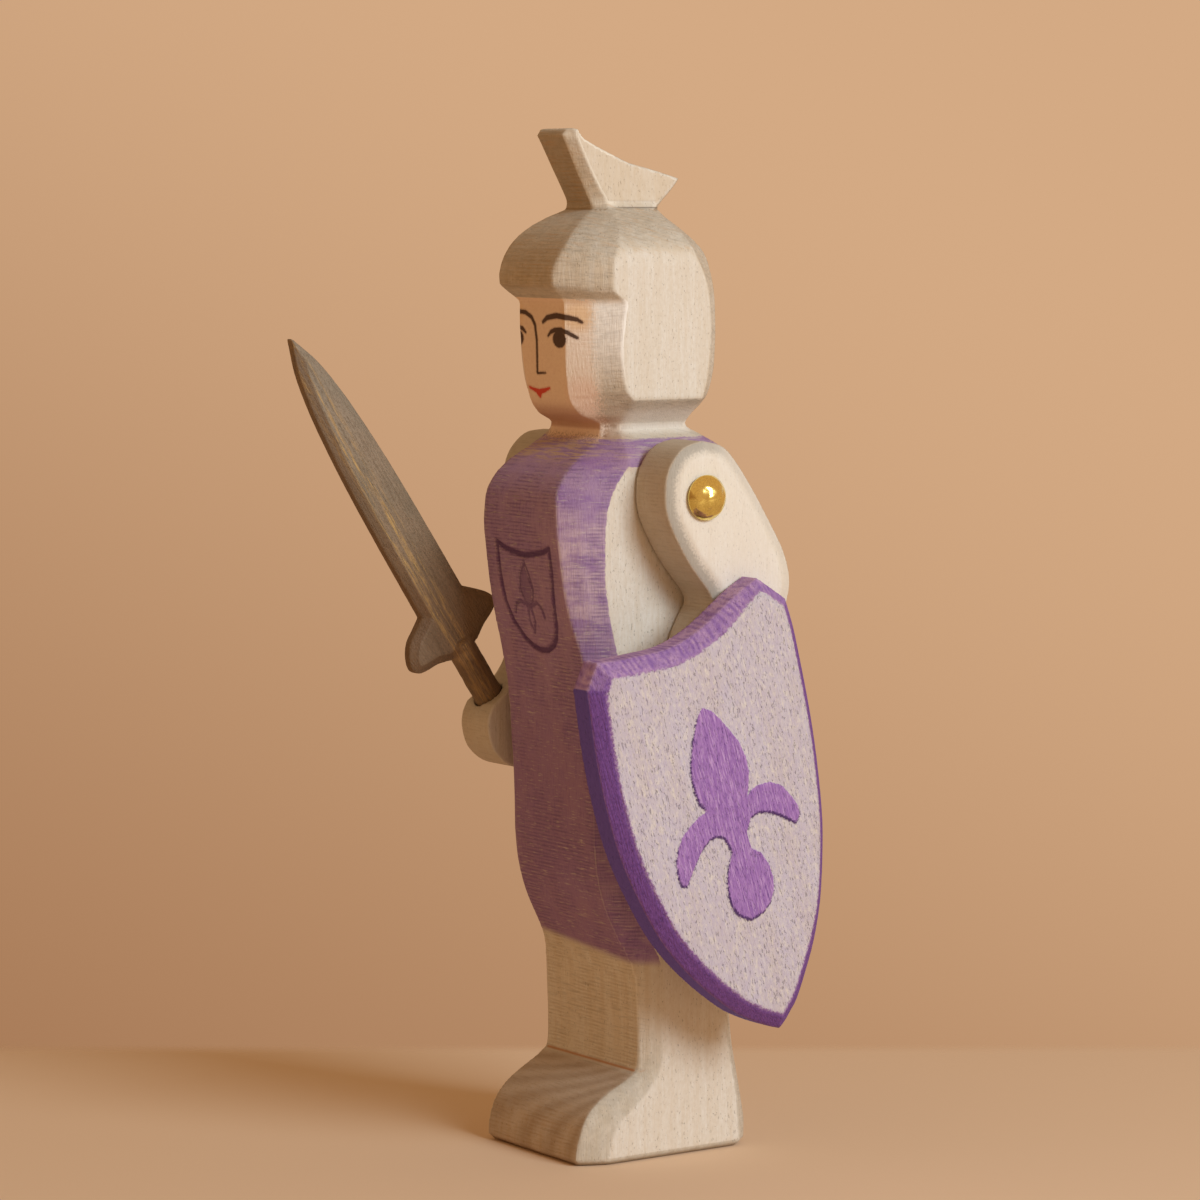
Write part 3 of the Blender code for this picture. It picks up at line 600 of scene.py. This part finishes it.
    # On the shoulders the brush left fine strokes, closer beside the arms.
    brushed = node(tree, "ShaderNodeMath",
                   {0: speckle(tree, at, 4.0, 0.26, 0.4, 0.58),
                    1: above(tree, at, 2, SHOULDER_TOP, -1.2)}, operation="MAXIMUM").outputs[0]
    brushed = node(tree, "ShaderNodeMath", {0: chamfer, 1: 0.55, 2: brushed},
                   operation="MULTIPLY_ADD", use_clamp=True).outputs[0]
    base = coats(tree, base,
                 (stain, marked(tree, "tunic", 0.0, 0.16, ragged, 0.08),
                  marked(tree, "hem", -0.8, 0.9), thin, worn, brushed),
                 # Line pressed into the chest, where the stain pools.
                 (rgba("#6f4566"), marked(tree, "crest", -0.3, 0.05, fuzz, 0.08), 0.35),
                 (rgba(hues.crest), marked(tree, "crest", -0.02, 0.25, fuzz, 0.08), 0.62),
                 (rgba(hues.crest), marked(tree, "sprig", -0.1, 0.25, fuzz, 0.12), 0.5),
                 (rgba(hues.crest), marked(tree, "petal", -0.1, 0.4, fuzz, 0.2), 0.35))

    # Face paint: skin, paler on the side facets as painted light; red-brown under the chin, partly
    # painted shade; and brush lines that fade at their edges.
    skin = coats(tree, rgba(hues.skin),
                 # Painted light: paler skin on the facets that face sideways.
                 (rgba("#fef5ea"), facing(tree, 0, 0.2, 0.4), 0.75),
                 (rgba(hues.cheek), marked(tree, "cheek", 0.0, 1.0), 0.42),
                 (rgba("#efbd74"), marked(tree, "rim_glow", 0.0, 1.0), 0.62),
                 (rgba("#dcb191"), speckle(tree, at, 0.5, 0.5, 0.4, 0.7), 0.2))
    dry = speckle(tree, at, 0.25, 0.25, 0.25, 0.6)
    base = coats(tree, base,
                 (skin, marked(tree, "skin", -0.9, 0.9, fuzz, 0.5), 0.94),
                 # Red-brown under the chin: partly paint, partly painted shade.
                 (rgba("#a5613e"), above(tree, at, 2, CHIN, -1.4), above(tree, at, 2, 114.6, 0.3),
                  above(tree, at, 1, -6.0, -3.0), level, 0.5),
                 (rgba("#8a604a"), marked(tree, "ink", -0.28, 0.04, dry, 0.06), 0.5),
                 (rgba(hues.ink), marked(tree, "ink", -0.06, 0.1, dry, 0.05), 0.9),
                 (rgba("#d58a6c"), marked(tree, "lips", -0.3, 0.02, fuzz, 0.06), 0.5),
                 (rgba(hues.lips), marked(tree, "lips", -0.05, 0.12, fuzz, 0.06), 0.92))
    finish_wood(tree, base, height, 0.62)
    return material


def bare_maple(hues, name, seed):
    """Maple board, sanded: pale face, grey mottled bevel and brown-grey sawn edge."""
    material, tree = blank(name)
    at = grain_space(tree, seed=seed)
    base, height = sanded_maple(tree, at, hues)
    mottle = speckle(tree, at, 0.35, 0.35, 0.25, 0.75)
    normal = node(tree, "ShaderNodeTexCoord").outputs["Normal"]
    face = coats(tree, base, (rgba("#f0e8db"), 0.5))
    wall = coats(tree, base, (rgba("#b8aa98"), 0.5))
    outer = marked(tree, "rim", -3.4, -2.7)
    base = coats(tree, wall, (face, outer),
                 # The sanded bevel is grey and mottled toward the front and top: partly its own
                 # colour, partly painted shade.
                 (rgba("#9b9488"), outer, marked(tree, "rim", -0.3, -1.5, mottle, 0.3),
                  above(tree, normal, 1, 0.2, -0.3), 0.7))
    finish_wood(tree, base, height, 0.62)
    return material


def stained_shield(hues):
    """Limed and stained board: thin white stain whose pores stay dark, a violet brushed edge that
    bleeds into it, and a lily stained through a cut template, darker along the lower front side
    of its outline."""
    material, tree = blank("wood_white_stain_violet_edge")
    at = grain_space(tree, SHIELD_TILT)
    fibre = speckle(tree, at, 0.26, 4.0, 0.3, 0.7)
    # Open pores are drawn 0.2 mm wide, about twice their real width, so that they show.
    pore = speckle(tree, at, 0.22, 0.8, 0.595, 0.71, 2.0)
    white = coats(tree, rgba(hues.shield),
                  (rgba("#c9bab0"), speckle(tree, at, 4.0, 12.0, 0.3, 0.7), 0.5),
                  (rgba("#bcb0c6"), speckle(tree, at, 0.5, 0.8, 0.4, 0.66), 0.42),
                  (rgba("#e9e0cd"), speckle(tree, at, 0.6, 1.2, 0.48, 0.68), 0.5),
                  (rgba("#b9abc4"), fibre, 0.25),
                  (rgba("#665c6a"), pore, 0.48))

    # Brushed edge: streaks run down the bevel; the bevel along the top is paler, partly from less
    # stain and partly as painted light where it faces up.
    upward = node(tree, "ShaderNodeSeparateXYZ",
                  {0: node(tree, "ShaderNodeTexCoord").outputs["Normal"]}).outputs[2]
    top = node(tree, "ShaderNodeMapRange", {0: upward, 1: 0.15, 2: 0.4},
               interpolation_type="SMOOTHSTEP").outputs[0]
    # Year rings run through the board's thickness.
    growth = node(tree, "ShaderNodeTexWave",
                  {"Vector": at, "Scale": wave_scale(SHIELD_RINGS), "Distortion": 9.0,
                   "Detail": 3.0, "Detail Scale": 0.5}, wave_type="BANDS",
                  bands_direction="Y").outputs[1]
    # Paler on the upward bevel: partly less stain, partly painted light.
    light = coats(tree, rgba("#cba5c6"),
                  (rgba("#7d539c"), growth, speckle(tree, at, 2.0, 2.0, 0.35, 0.6), 0.65),
                  (rgba("#9068a9"), speckle(tree, at, 3.0, 3.0, 0.4, 0.65), 0.5))
    edge = coats(tree, rgba(hues.shield_edge),
                 (rgba("#4b2d6c"), speckle(tree, at, 0.5, 0.5, 0.32, 0.74), 0.5),
                 (rgba("#6657bb"), facing(tree, 0, 0.4, 0.25), 0.8),
                 (light, top, 0.9),
                 (rgba("#7a55a6"), top, facing(tree, 0, 0.35, 0.6),
                  speckle(tree, at, 0.6, 2.4, 0.25, 0.6), 0.4),
                 (rgba("#bb9dc2"), marked(tree, "arris", 0.03, 0.12), 0.45))
    bleed = speckle(tree, at, 0.4, 0.4, 0.25, 0.75)
    base = coats(tree, edge,
                 (rgba("#a983ab"), marked(tree, "inside", -0.5, 0.15, bleed, 0.25), 0.6),
                 (white, marked(tree, "inside", -0.1, 0.4, bleed, 0.24)))

    # Lily.
    ragged = speckle(tree, at, 0.4, 0.4, 0.3, 0.7)
    lily = coats(tree, rgba(hues.lily), (rgba("#7d4f9c"), fibre, 0.65),
                 (rgba("#cfabd8"), speckle(tree, at, 0.26, 2.4, 0.5, 0.68), 0.6),
                 (rgba("#55317a"), speckle(tree, at, 0.26, 1.4, 0.57, 0.7, 2.0), 0.65))
    base = coats(tree, base, (lily, marked(tree, "lily", -0.08, 0.12, ragged, 0.08)),
                 (rgba("#3b1f5a"), marked(tree, "lily_lower_rim", 0.12, 0.46, ragged, 0.18), 0.85))
    height = node(tree, "ShaderNodeMath", {0: pore, 1: 2.0}, operation="MULTIPLY").outputs[0]
    height = node(tree, "ShaderNodeMath", {0: fibre, 1: height}, operation="SUBTRACT").outputs[0]
    finish_wood(tree, base, height, 0.7, 0.07, 0.8)
    return material


def stained_sword(hues):
    """Oak lath, carved and dark oiled: grey-brown with gold streaks along the blade, painted shade
    on the front bevel, near black and a little rough on the grip."""
    material, tree = blank("oak_carved_dark_oiled")
    at = grain_space(tree, SWORD_TILT)
    vein = speckle(tree, at, 0.2, 4.0, 0.5, 0.66, 4.0)
    fleck = speckle(tree, at, 0.3, 0.6, 0.45, 0.72)
    streaked = speckle(tree, at, 0.7, 16.0, 0.42, 0.6)
    base = coats(tree, rgba(hues.sword),
                 (rgba("#7d725f"), speckle(tree, at, 5.0, 12.0, 0.35, 0.65), 0.6),
                 (rgba("#9c9385"), above(tree, at, 2, 114.0, 14.0), 0.4),
                 (rgba("#7b5a3b"), above(tree, at, 2, 98.0, -12.0), 0.4),
                 (rgba("#6a563f"), speckle(tree, at, 0.35, 9.0, 0.5, 0.7, 4.0), 0.4),
                 (rgba("#66533f"), fleck, 0.35),
                 (rgba(hues.sword_streak), streaked, speckle(tree, at, 0.3, 3.0, 0.4, 0.6, 5.0),
                  marked(tree, "across", -3.4, -2.8), marked(tree, "across", 1.0, -0.6), 0.7),
                 (rgba("#e0b870"), vein, streaked, marked(tree, "across", -3.4, -2.8),
                  marked(tree, "across", 0.6, -0.6), 0.45),
                 # Painted shade: darker on the front side's bevels, except on the grip.
                 (rgba("#6b4c30"), facing(tree, 0, 0.965, 0.9), marked(tree, "across", 0.5, -0.5),
                  marked(tree, "grip", 0.6, -0.6), 0.5),
                 (rgba("#4a3423"), marked(tree, "grip", 0.2, 2.0, fleck, 0.4), 0.36),
                 (rgba("#ad9473"), marked(tree, "arris", 0.03, 0.1), 0.4))
    height = node(tree, "ShaderNodeMath", {0: vein, 1: fleck}, operation="SUBTRACT").outputs[0]
    finish_wood(tree, base, height, 0.5, 0.06, 0.8)
    return material


def beech_dowel():
    """Beech, turned: pinkish brown with short darker flecks, smooth from the lathe."""
    material, tree = blank("beech_dowel_turned")
    at = grain_space(tree)
    lying = node(tree, "ShaderNodeVectorMath", {0: at, 1: (0.4, 3.0, 3.0)},
                 operation="MULTIPLY").outputs[0]
    fleck = node(tree, "ShaderNodeTexNoise",
                 {"Vector": lying, "Scale": 1.0, "Detail": 3.0}).outputs[0]
    fleck = node(tree, "ShaderNodeMapRange", {0: fleck, 1: 0.5, 2: 0.7}).outputs[0]
    finish_wood(tree, coats(tree, rgba("#c79a70"), (rgba("#8a5f3e"), fleck, 0.6)), fleck, 0.6)
    return material


def polished_brass(hues):
    """Brass, stamped and tumbled: bright gold with a soft uneven sheen and fine duller flecks,
    over shallow dents.
    """
    material, tree = blank("brass_stamped_polished")
    at = grain_space(tree)
    dent = speckle(tree, at, 1.7, 1.7, 0.2, 0.8, 0.0)
    fine = speckle(tree, at, 0.25, 0.25, 0.3, 0.7)
    base = coats(tree, rgba(hues.brass), (rgba("#a88228"), fine, 0.35))
    rough = node(tree, "ShaderNodeMapRange", {0: fine, 3: 0.12, 4: 0.24}).outputs[0]
    bump = node(tree, "ShaderNodeBump",
                {"Height": dent, "Strength": 1.0, "Distance": 0.22 * MM}).outputs[0]
    shader = node(tree, "ShaderNodeBsdfPrincipled", {"Base Color": base, "Metallic": 1.0,
                                                     "Roughness": rough, "Normal": bump})
    node(tree, "ShaderNodeOutputMaterial", {"Surface": shader.outputs[0]})
    return material


# ---------------------------------------------------------------------------------------------
# Operators


class KNIGHT_OT_stage(bpy.types.Operator):
    """Makes the floor, the lamp, the plain backdrop and the camera"""
    bl_idname = "knight.stage"
    bl_label = "Stage"

    def execute(self, context):
        scene, hues, sizes = context.scene, context.scene.knight_colours, context.scene.knight_sizes
        look = Vector(CAMERA_LOOKS_AT) - Vector(CAMERA_AT)

        bm = bmesh.new()
        bmesh.ops.create_circle(bm, cap_ends=True, segments=96, radius=FLOOR_RADIUS)
        mesh = bpy.data.meshes.new("floor")
        bm.to_mesh(mesh)
        bm.free()
        floor = bpy.data.objects.new("floor", mesh)
        scene.collection.objects.link(floor)
        material, tree = blank("floor_plain_pale")
        plain = node(tree, "ShaderNodeBsdfPrincipled",
                     {"Base Color": rgba(hues.floor), "Roughness": 0.9, "Specular IOR Level": 0.1})
        # The table ends behind the figure, seen from the camera, and fades into the backdrop.
        spot = node(tree, "ShaderNodeTexCoord").outputs["Object"]
        away = node(tree, "ShaderNodeVectorMath",
                    {0: spot, 1: Vector((look.x, look.y, 0)).normalized()},
                    operation="DOT_PRODUCT").outputs[1]
        gone = node(tree, "ShaderNodeMapRange", {0: away, 1: FLOOR_ENDS[0], 2: FLOOR_ENDS[1]},
                    interpolation_type="SMOOTHSTEP").outputs[0]
        reach = node(tree, "ShaderNodeVectorMath", {0: spot}, operation="LENGTH").outputs[1]
        rim = node(tree, "ShaderNodeMapRange", {0: reach, 1: FLOOR_FADES[0], 2: FLOOR_FADES[1]},
                   interpolation_type="SMOOTHSTEP").outputs[0]
        fade = node(tree, "ShaderNodeMath", {0: gone, 1: rim}, operation="MAXIMUM").outputs[0]
        clear = node(tree, "ShaderNodeBsdfTransparent").outputs[0]
        both = node(tree, "ShaderNodeMixShader", {0: fade, 1: plain.outputs[0], 2: clear})
        node(tree, "ShaderNodeOutputMaterial", {"Surface": both.outputs[0]})
        mesh.materials.append(material)

        lamp = bpy.data.lights.new("studio_lamp", "AREA")
        lamp.shape = "SQUARE"
        lamp.size = sizes.lamp
        lamp.energy = LAMP_WATTS
        lamp.color = hues.lamp
        turned, raised = math.radians(LAMP_TURNED), math.radians(LAMP_RAISED)
        aim = Vector((math.cos(raised) * math.cos(turned), math.cos(raised) * math.sin(turned),
                      math.sin(raised)))
        holder = bpy.data.objects.new("studio_lamp", lamp)
        holder.location = Vector(LAMP_LOOKS_AT) + aim
        holder.rotation_mode = "QUATERNION"
        holder.rotation_quaternion = aim.to_track_quat("Z", "Y")
        scene.collection.objects.link(holder)

        world = bpy.data.worlds.new("studio")
        world.use_nodes = True
        tree = world.node_tree
        tree.nodes.clear()
        path = node(tree, "ShaderNodeLightPath").outputs
        seen = path["Is Camera Ray"]
        for ray in ("Is Glossy Ray", "Is Transmission Ray"):
            seen = node(tree, "ShaderNodeMath", {0: seen, 1: path[ray]},
                        operation="MAXIMUM").outputs[0]
        # The backdrop lightens upward and toward the lamp.
        way = node(tree, "ShaderNodeTexCoord").outputs["Generated"]
        side = look.cross(Vector((0, 0, 1))).normalized()
        slope = node(tree, "ShaderNodeVectorMath",
                     {0: way, 1: side * 0.49 + Vector((0, 0, 0.87))},
                     operation="DOT_PRODUCT").outputs[1]
        slope = node(tree, "ShaderNodeMapRange", {0: slope, 1: -0.297, 2: 0.052},
                     interpolation_type="SMOOTHSTEP").outputs[0]
        shown = coats(tree, rgba(hues.backdrop_low), (rgba(hues.backdrop), slope))
        fill = node(tree, "ShaderNodeBackground",
                    {"Color": rgba(hues.shade_light), "Strength": 1.0})
        back = node(tree, "ShaderNodeBackground", {"Color": shown, "Strength": 1.0})
        both = node(tree, "ShaderNodeMixShader", {0: seen, 1: fill.outputs[0], 2: back.outputs[0]})
        node(tree, "ShaderNodeOutputWorld", {"Surface": both.outputs[0]})
        scene.world = world

        camera = bpy.data.cameras.new("camera")
        camera.lens = CAMERA_LENS
        camera.sensor_width = 36.0
        camera.clip_start = 0.01
        viewer = bpy.data.objects.new("camera", camera)
        viewer.location = CAMERA_AT
        viewer.rotation_mode = "QUATERNION"
        viewer.rotation_quaternion = look.to_track_quat("-Z", "Y")
        scene.collection.objects.link(viewer)
        scene.camera = viewer
        scene.view_settings.view_transform = "Standard"
        return {"FINISHED"}


class KNIGHT_OT_body(bpy.types.Operator):
    """Makes the carved body with its tunic, crest and painted face"""
    bl_idname = "knight.body"
    bl_label = "Body"

    def execute(self, context):
        hues, sizes = context.scene.knight_colours, context.scene.knight_sizes
        bm = fine_copy("body", BODY_CELL)
        refine(bm, lambda p: CHIN < p.z < 134.0 and abs(p.x) < 12.5 and p.y < -9.0, DETAIL_CUTS)
        refine(bm, lambda p: 78.5 < p.z < 98.0 and abs(p.x) < 9.0 and p.y < -15.0, DETAIL_CUTS)
        sand(bm, 2)
        points = points_of(bm)
        x, y, z = points.T
        flat = points[:, (0, 2)]
        far = np.full(len(points), -9.0)

        # Crest.
        half, thin = sizes.crest_line / MM / 2, sizes.sprig_line / MM / 2
        chest = (y < -4.0) & (z > 78.0) & (z < 99.0)
        crest, sprig, petal = far.copy(), far.copy(), far.copy()
        crest[chest] = within_stroke(flat[chest], CREST_LINE, half)
        sprig[chest] = np.maximum.reduce([within_stroke(flat[chest], line, thin) for line in
                                          (SPRIG_PETAL, SPRIG_ARMS, SPRIG_STEM)])
        petal[chest] = within_outline(flat[chest], SPRIG_PETAL[:-1])
        press = sizes.crest_depth / MM * np.clip(1 - (1 - np.clip(crest / half, 0, 1)) ** 2, 0, 1)
        press = np.maximum(press, sizes.crest_depth / MM * 0.5 * np.clip(sprig / thin, 0, 1))
        mark(bm, "crest", crest)
        mark(bm, "sprig", sprig)
        mark(bm, "petal", petal)

        # Tunic: from the hem to the neck, all but the flat sides below the arms' tops. The side's
        # edge is read from the solid, without the edge of the nail's hole.
        rim = np.concatenate(rim_of("body", 1.0))
        low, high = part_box("shoulder_nail_left")
        nail = np.array((low + high) / 2 / MM)[1:]
        rim = rim[np.linalg.norm(rim - nail, axis=1) > 3.0]
        rim = rim[rim[:, 1].argsort()]
        front, back = rim[rim[:, 0] < 0], rim[rim[:, 0] > 0]
        beside = np.maximum.reduce([np.interp(z, front[:, 1], front[:, 0]) - y,
                                    y - np.interp(z, back[:, 1], back[:, 0]), z - ARM_TOP])
        beside[np.abs(x) < np.abs(x).max() - 5.0] = 3.0
        mark(bm, "tunic", np.minimum(TUNIC_TOP - z, beside))
        mark(bm, "hem", z - sizes.hem_height / MM - 0.1 * (7.0 - x))

        # Face.
        head = (y < -4.0) & (z > 112.0) & (z < 137.0)
        skin, ink, lips = far.copy(), far.copy(), far.copy()
        skin[head] = within_outline(flat[head], FACE_EDGE)
        strokes = [within_stroke(flat[head], line) for line in
                   (BROW_NEAR, NOSE_LINE, NOSTRIL, BROW_FAR, LID_NEAR, LID_FAR)]
        for pupil in (PUPIL_NEAR, PUPIL_FAR):
            apart = np.linalg.norm((flat[head] - pupil) / PUPIL_HALF, axis=1)
            strokes.append((1 - apart) * PUPIL_HALF[1])
        ink[head] = np.maximum.reduce(strokes)
        lips[head] = np.maximum(within_stroke(flat[head], MOUTH_LINE),
                                within_outline(flat[head], MOUTH_DROP))
        cheek = 1 - np.hypot((np.abs(x) - 8.0) / 4.0, (z - 119.6) / 4.6)
        glow = 1 - np.hypot((np.abs(x) - 8.0) / 3.5, (z - 132.2) / 3.5)
        mark(bm, "skin", np.where(z > FACE_TOP, -9.0, skin))
        mark(bm, "ink", ink)
        mark(bm, "lips", lips)
        mark(bm, "cheek", np.where(head, cheek, -1.0) * 1.6)
        mark(bm, "rim_glow", np.where(head, glow, -1.0) * 1.4)

        wander(bm, sizes.unevenness / MM, 9.0, 3.0)
        for vert, deep in zip(bm.verts, press):
            vert.co.y += deep
        finish(bm, "carved_body", "figure", "body", painted_maple(hues))
        return {"FINISHED"}


class KNIGHT_OT_arms(bpy.types.Operator):
    """Makes both arm boards"""
    bl_idname = "knight.arms"
    bl_label = "Arms"

    def execute(self, context):
        hues, sizes = context.scene.knight_colours, context.scene.knight_sizes
        for name, body, side in (("arm_left", "left_arm", 1.0), ("arm_right", "right_arm", -1.0)):
            bm = fine_copy(name, ARM_CELL)
            sand(bm, 3)
            points = points_of(bm)
            outer = np.abs(points[:, 0]).max()
            rim = within_edges(points[:, 1:], *rim_of(name, side))
            mark(bm, "rim", np.where(np.abs(points[:, 0]) > outer - ARM_BEVEL, rim, -9.0))
            wander(bm, sizes.unevenness / MM * 0.7, 8.0, side * 31.0)
            finish(bm, name + "_board", body, name,
                   bare_maple(hues, "maple_board_sanded_" + name, side * 17.0))
        return {"FINISHED"}


class KNIGHT_OT_shield(bpy.types.Operator):
    """Makes the stained shield with its lily, and finishes the dowel that carries it"""
    bl_idname = "knight.shield"
    bl_label = "Shield"

    def execute(self, context):
        hues, sizes = context.scene.knight_colours, context.scene.knight_sizes
        bm = fine_copy("shield", SHIELD_CELL)
        outer = max(vert.co.x for vert in bm.verts)
        middle = Vector((outer, SHIELD_TIP[0] - 10.0, SHIELD_TIP[1] + 35.0))
        refine(bm, lambda p: p.x > outer - 0.3 and (p - middle).length < 22.0, DETAIL_CUTS)
        sand(bm, 2)
        points = points_of(bm)
        spots = own_frame(points, SHIELD_TIP, SHIELD_TILT)
        face = points[:, 0] > outer - 0.3
        lily, lower_rim = np.full(len(points), -9.0), np.full(len(points), -9.0)
        lily[face] = within_outline(spots[face], LILY)
        # Darker band along the lower, front side of the outline.
        shifted = within_outline(spots[face] - (0.28, 0.34), LILY)
        lower_rim[face] = np.minimum(lily[face] + 0.12, -shifted) + 0.25
        inside = within_edges(points[:, 1:], *rim_of("shield", 1.0))
        # The brush left less stain along the back edge.
        inside += 0.8 * np.clip((spots[:, 0] - 8.0) / 6.0, 0, 1)
        inside[points[:, 0] < outer - 2.2] = -9.0
        # The back is stained white too, to 1 mm from its edge.
        behind = points[:, 0] < points[:, 0].min() + 0.3
        inside[behind] = within_edges(points[behind, 1:], *rim_of("shield", -1.0)) - 1.0
        mark(bm, "lily", lily)
        mark(bm, "lily_lower_rim", lower_rim)
        mark(bm, "inside", inside)
        wander(bm, sizes.unevenness / MM * 0.6, 12.0, 57.0)
        relief = sizes.lily_relief / MM * (np.clip((lily + 0.1) / 0.3, 0, 1) - 1)
        for vert, down in zip(bm.verts, np.where(face, relief, 0.0)):
            vert.co.x += down
        finish(bm, "shield_board", "shield", "shield", stained_shield(hues))
        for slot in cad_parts["shield_peg"].material_slots:
            slot.material = beech_dowel()
        return {"FINISHED"}


class KNIGHT_OT_sword(bpy.types.Operator):
    """Makes the carved sword with its rough grip"""
    bl_idname = "knight.sword"
    bl_label = "Sword"

    def execute(self, context):
        hues, sizes = context.scene.knight_colours, context.scene.knight_sizes
        bm = fine_copy("sword", SWORD_CELL)
        sand(bm, 2)
        across, along = own_frame(points_of(bm), SWORD_GUARD, SWORD_TILT).T
        mark(bm, "across", across)
        mark(bm, "grip", GRIP_DARKENS - along)
        bm.normal_update()
        for vert, place in zip(bm.verts, along):
            rough = sizes.unevenness / MM if GRIP_ROUGH[0] < place < GRIP_ROUGH[1] else 0.04
            vert.co -= vert.normal * rough * (0.5 + 0.5 * noise.noise(vert.co * 0.9))
        finish(bm, "carved_sword", "sword", "sword", stained_sword(hues))
        return {"FINISHED"}


class KNIGHT_OT_nails(bpy.types.Operator):
    """Makes the two brass nails"""
    bl_idname = "knight.nails"
    bl_label = "Nails"

    def execute(self, context):
        hues, sizes = context.scene.knight_colours, context.scene.knight_sizes
        brass = polished_brass(hues)
        for node_name, side in (("shoulder_nail_left", 1), ("shoulder_nail_right", -1)):
            low, high = (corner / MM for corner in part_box(node_name))
            middle = (low + high) / 2
            radius = (high.y - low.y) / 2
            top = high.x if side > 0 else -low.x
            point = low.x if side > 0 else -high.x
            dome = sizes.nail_head / MM
            seat = top - dome
            shank = radius * 0.271
            ball = (radius ** 2 + (dome - 0.3) ** 2) / (2 * (dome - 0.3))
            profile = []
            for step in range(15):
                r = radius * math.sin(math.pi / 2 * step / 14)
                profile.append((r, top - ball + math.sqrt(ball ** 2 - r ** 2)))
            profile += [(radius, seat + 0.12), (radius - 0.12, seat), (shank, seat),
                        (shank, point + 3.0), (0.12, point), (0.0, point)]
            bm = bmesh.new()
            verts = [bm.verts.new((along * side, r, 0.0)) for r, along in profile]
            edges = [bm.edges.new(pair) for pair in zip(verts, verts[1:])]
            bmesh.ops.spin(bm, geom=verts + edges, axis=(1, 0, 0), cent=(0, 0, 0), dvec=(0, 0, 0),
                           angle=math.tau, steps=96, use_merge=True)
            bmesh.ops.remove_doubles(bm, verts=bm.verts, dist=1e-4)
            bmesh.ops.translate(bm, vec=(0, middle.y, middle.z), verts=bm.verts)
            bmesh.ops.recalc_face_normals(bm, faces=bm.faces)
            finish(bm, node_name + "_brass", "figure", node_name, brass)
        return {"FINISHED"}


class KNIGHT_PT_panel(bpy.types.Panel):
    """Lists the knight's pieces, sizes and colours"""
    bl_idname = "KNIGHT_PT_panel"
    bl_label = "Knight"
    bl_space_type = "VIEW_3D"
    bl_region_type = "UI"
    bl_category = "Knight"

    def draw(self, context):
        for operator in OPERATORS:
            self.layout.operator(operator.bl_idname)
        for group in (context.scene.knight_sizes, context.scene.knight_colours):
            box = self.layout.box()
            for name in group.__annotations__:
                box.prop(group, name)


OPERATORS = (KNIGHT_OT_stage, KNIGHT_OT_body, KNIGHT_OT_arms, KNIGHT_OT_shield, KNIGHT_OT_sword,
             KNIGHT_OT_nails)
CLASSES = (KnightSizes, KnightColours, *OPERATORS, KNIGHT_PT_panel)


def register():
    for cls in CLASSES:
        bpy.utils.register_class(cls)
    bpy.types.Scene.knight_sizes = PointerProperty(type=KnightSizes)
    bpy.types.Scene.knight_colours = PointerProperty(type=KnightColours)


def unregister():
    del bpy.types.Scene.knight_colours
    del bpy.types.Scene.knight_sizes
    for cls in reversed(CLASSES):
        bpy.utils.unregister_class(cls)


def main():
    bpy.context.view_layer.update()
    register()
    for name in ("stage", "body", "arms", "shield", "sword", "nails"):
        getattr(bpy.ops.knight, name)()


if __name__ == "__main__":
    main()
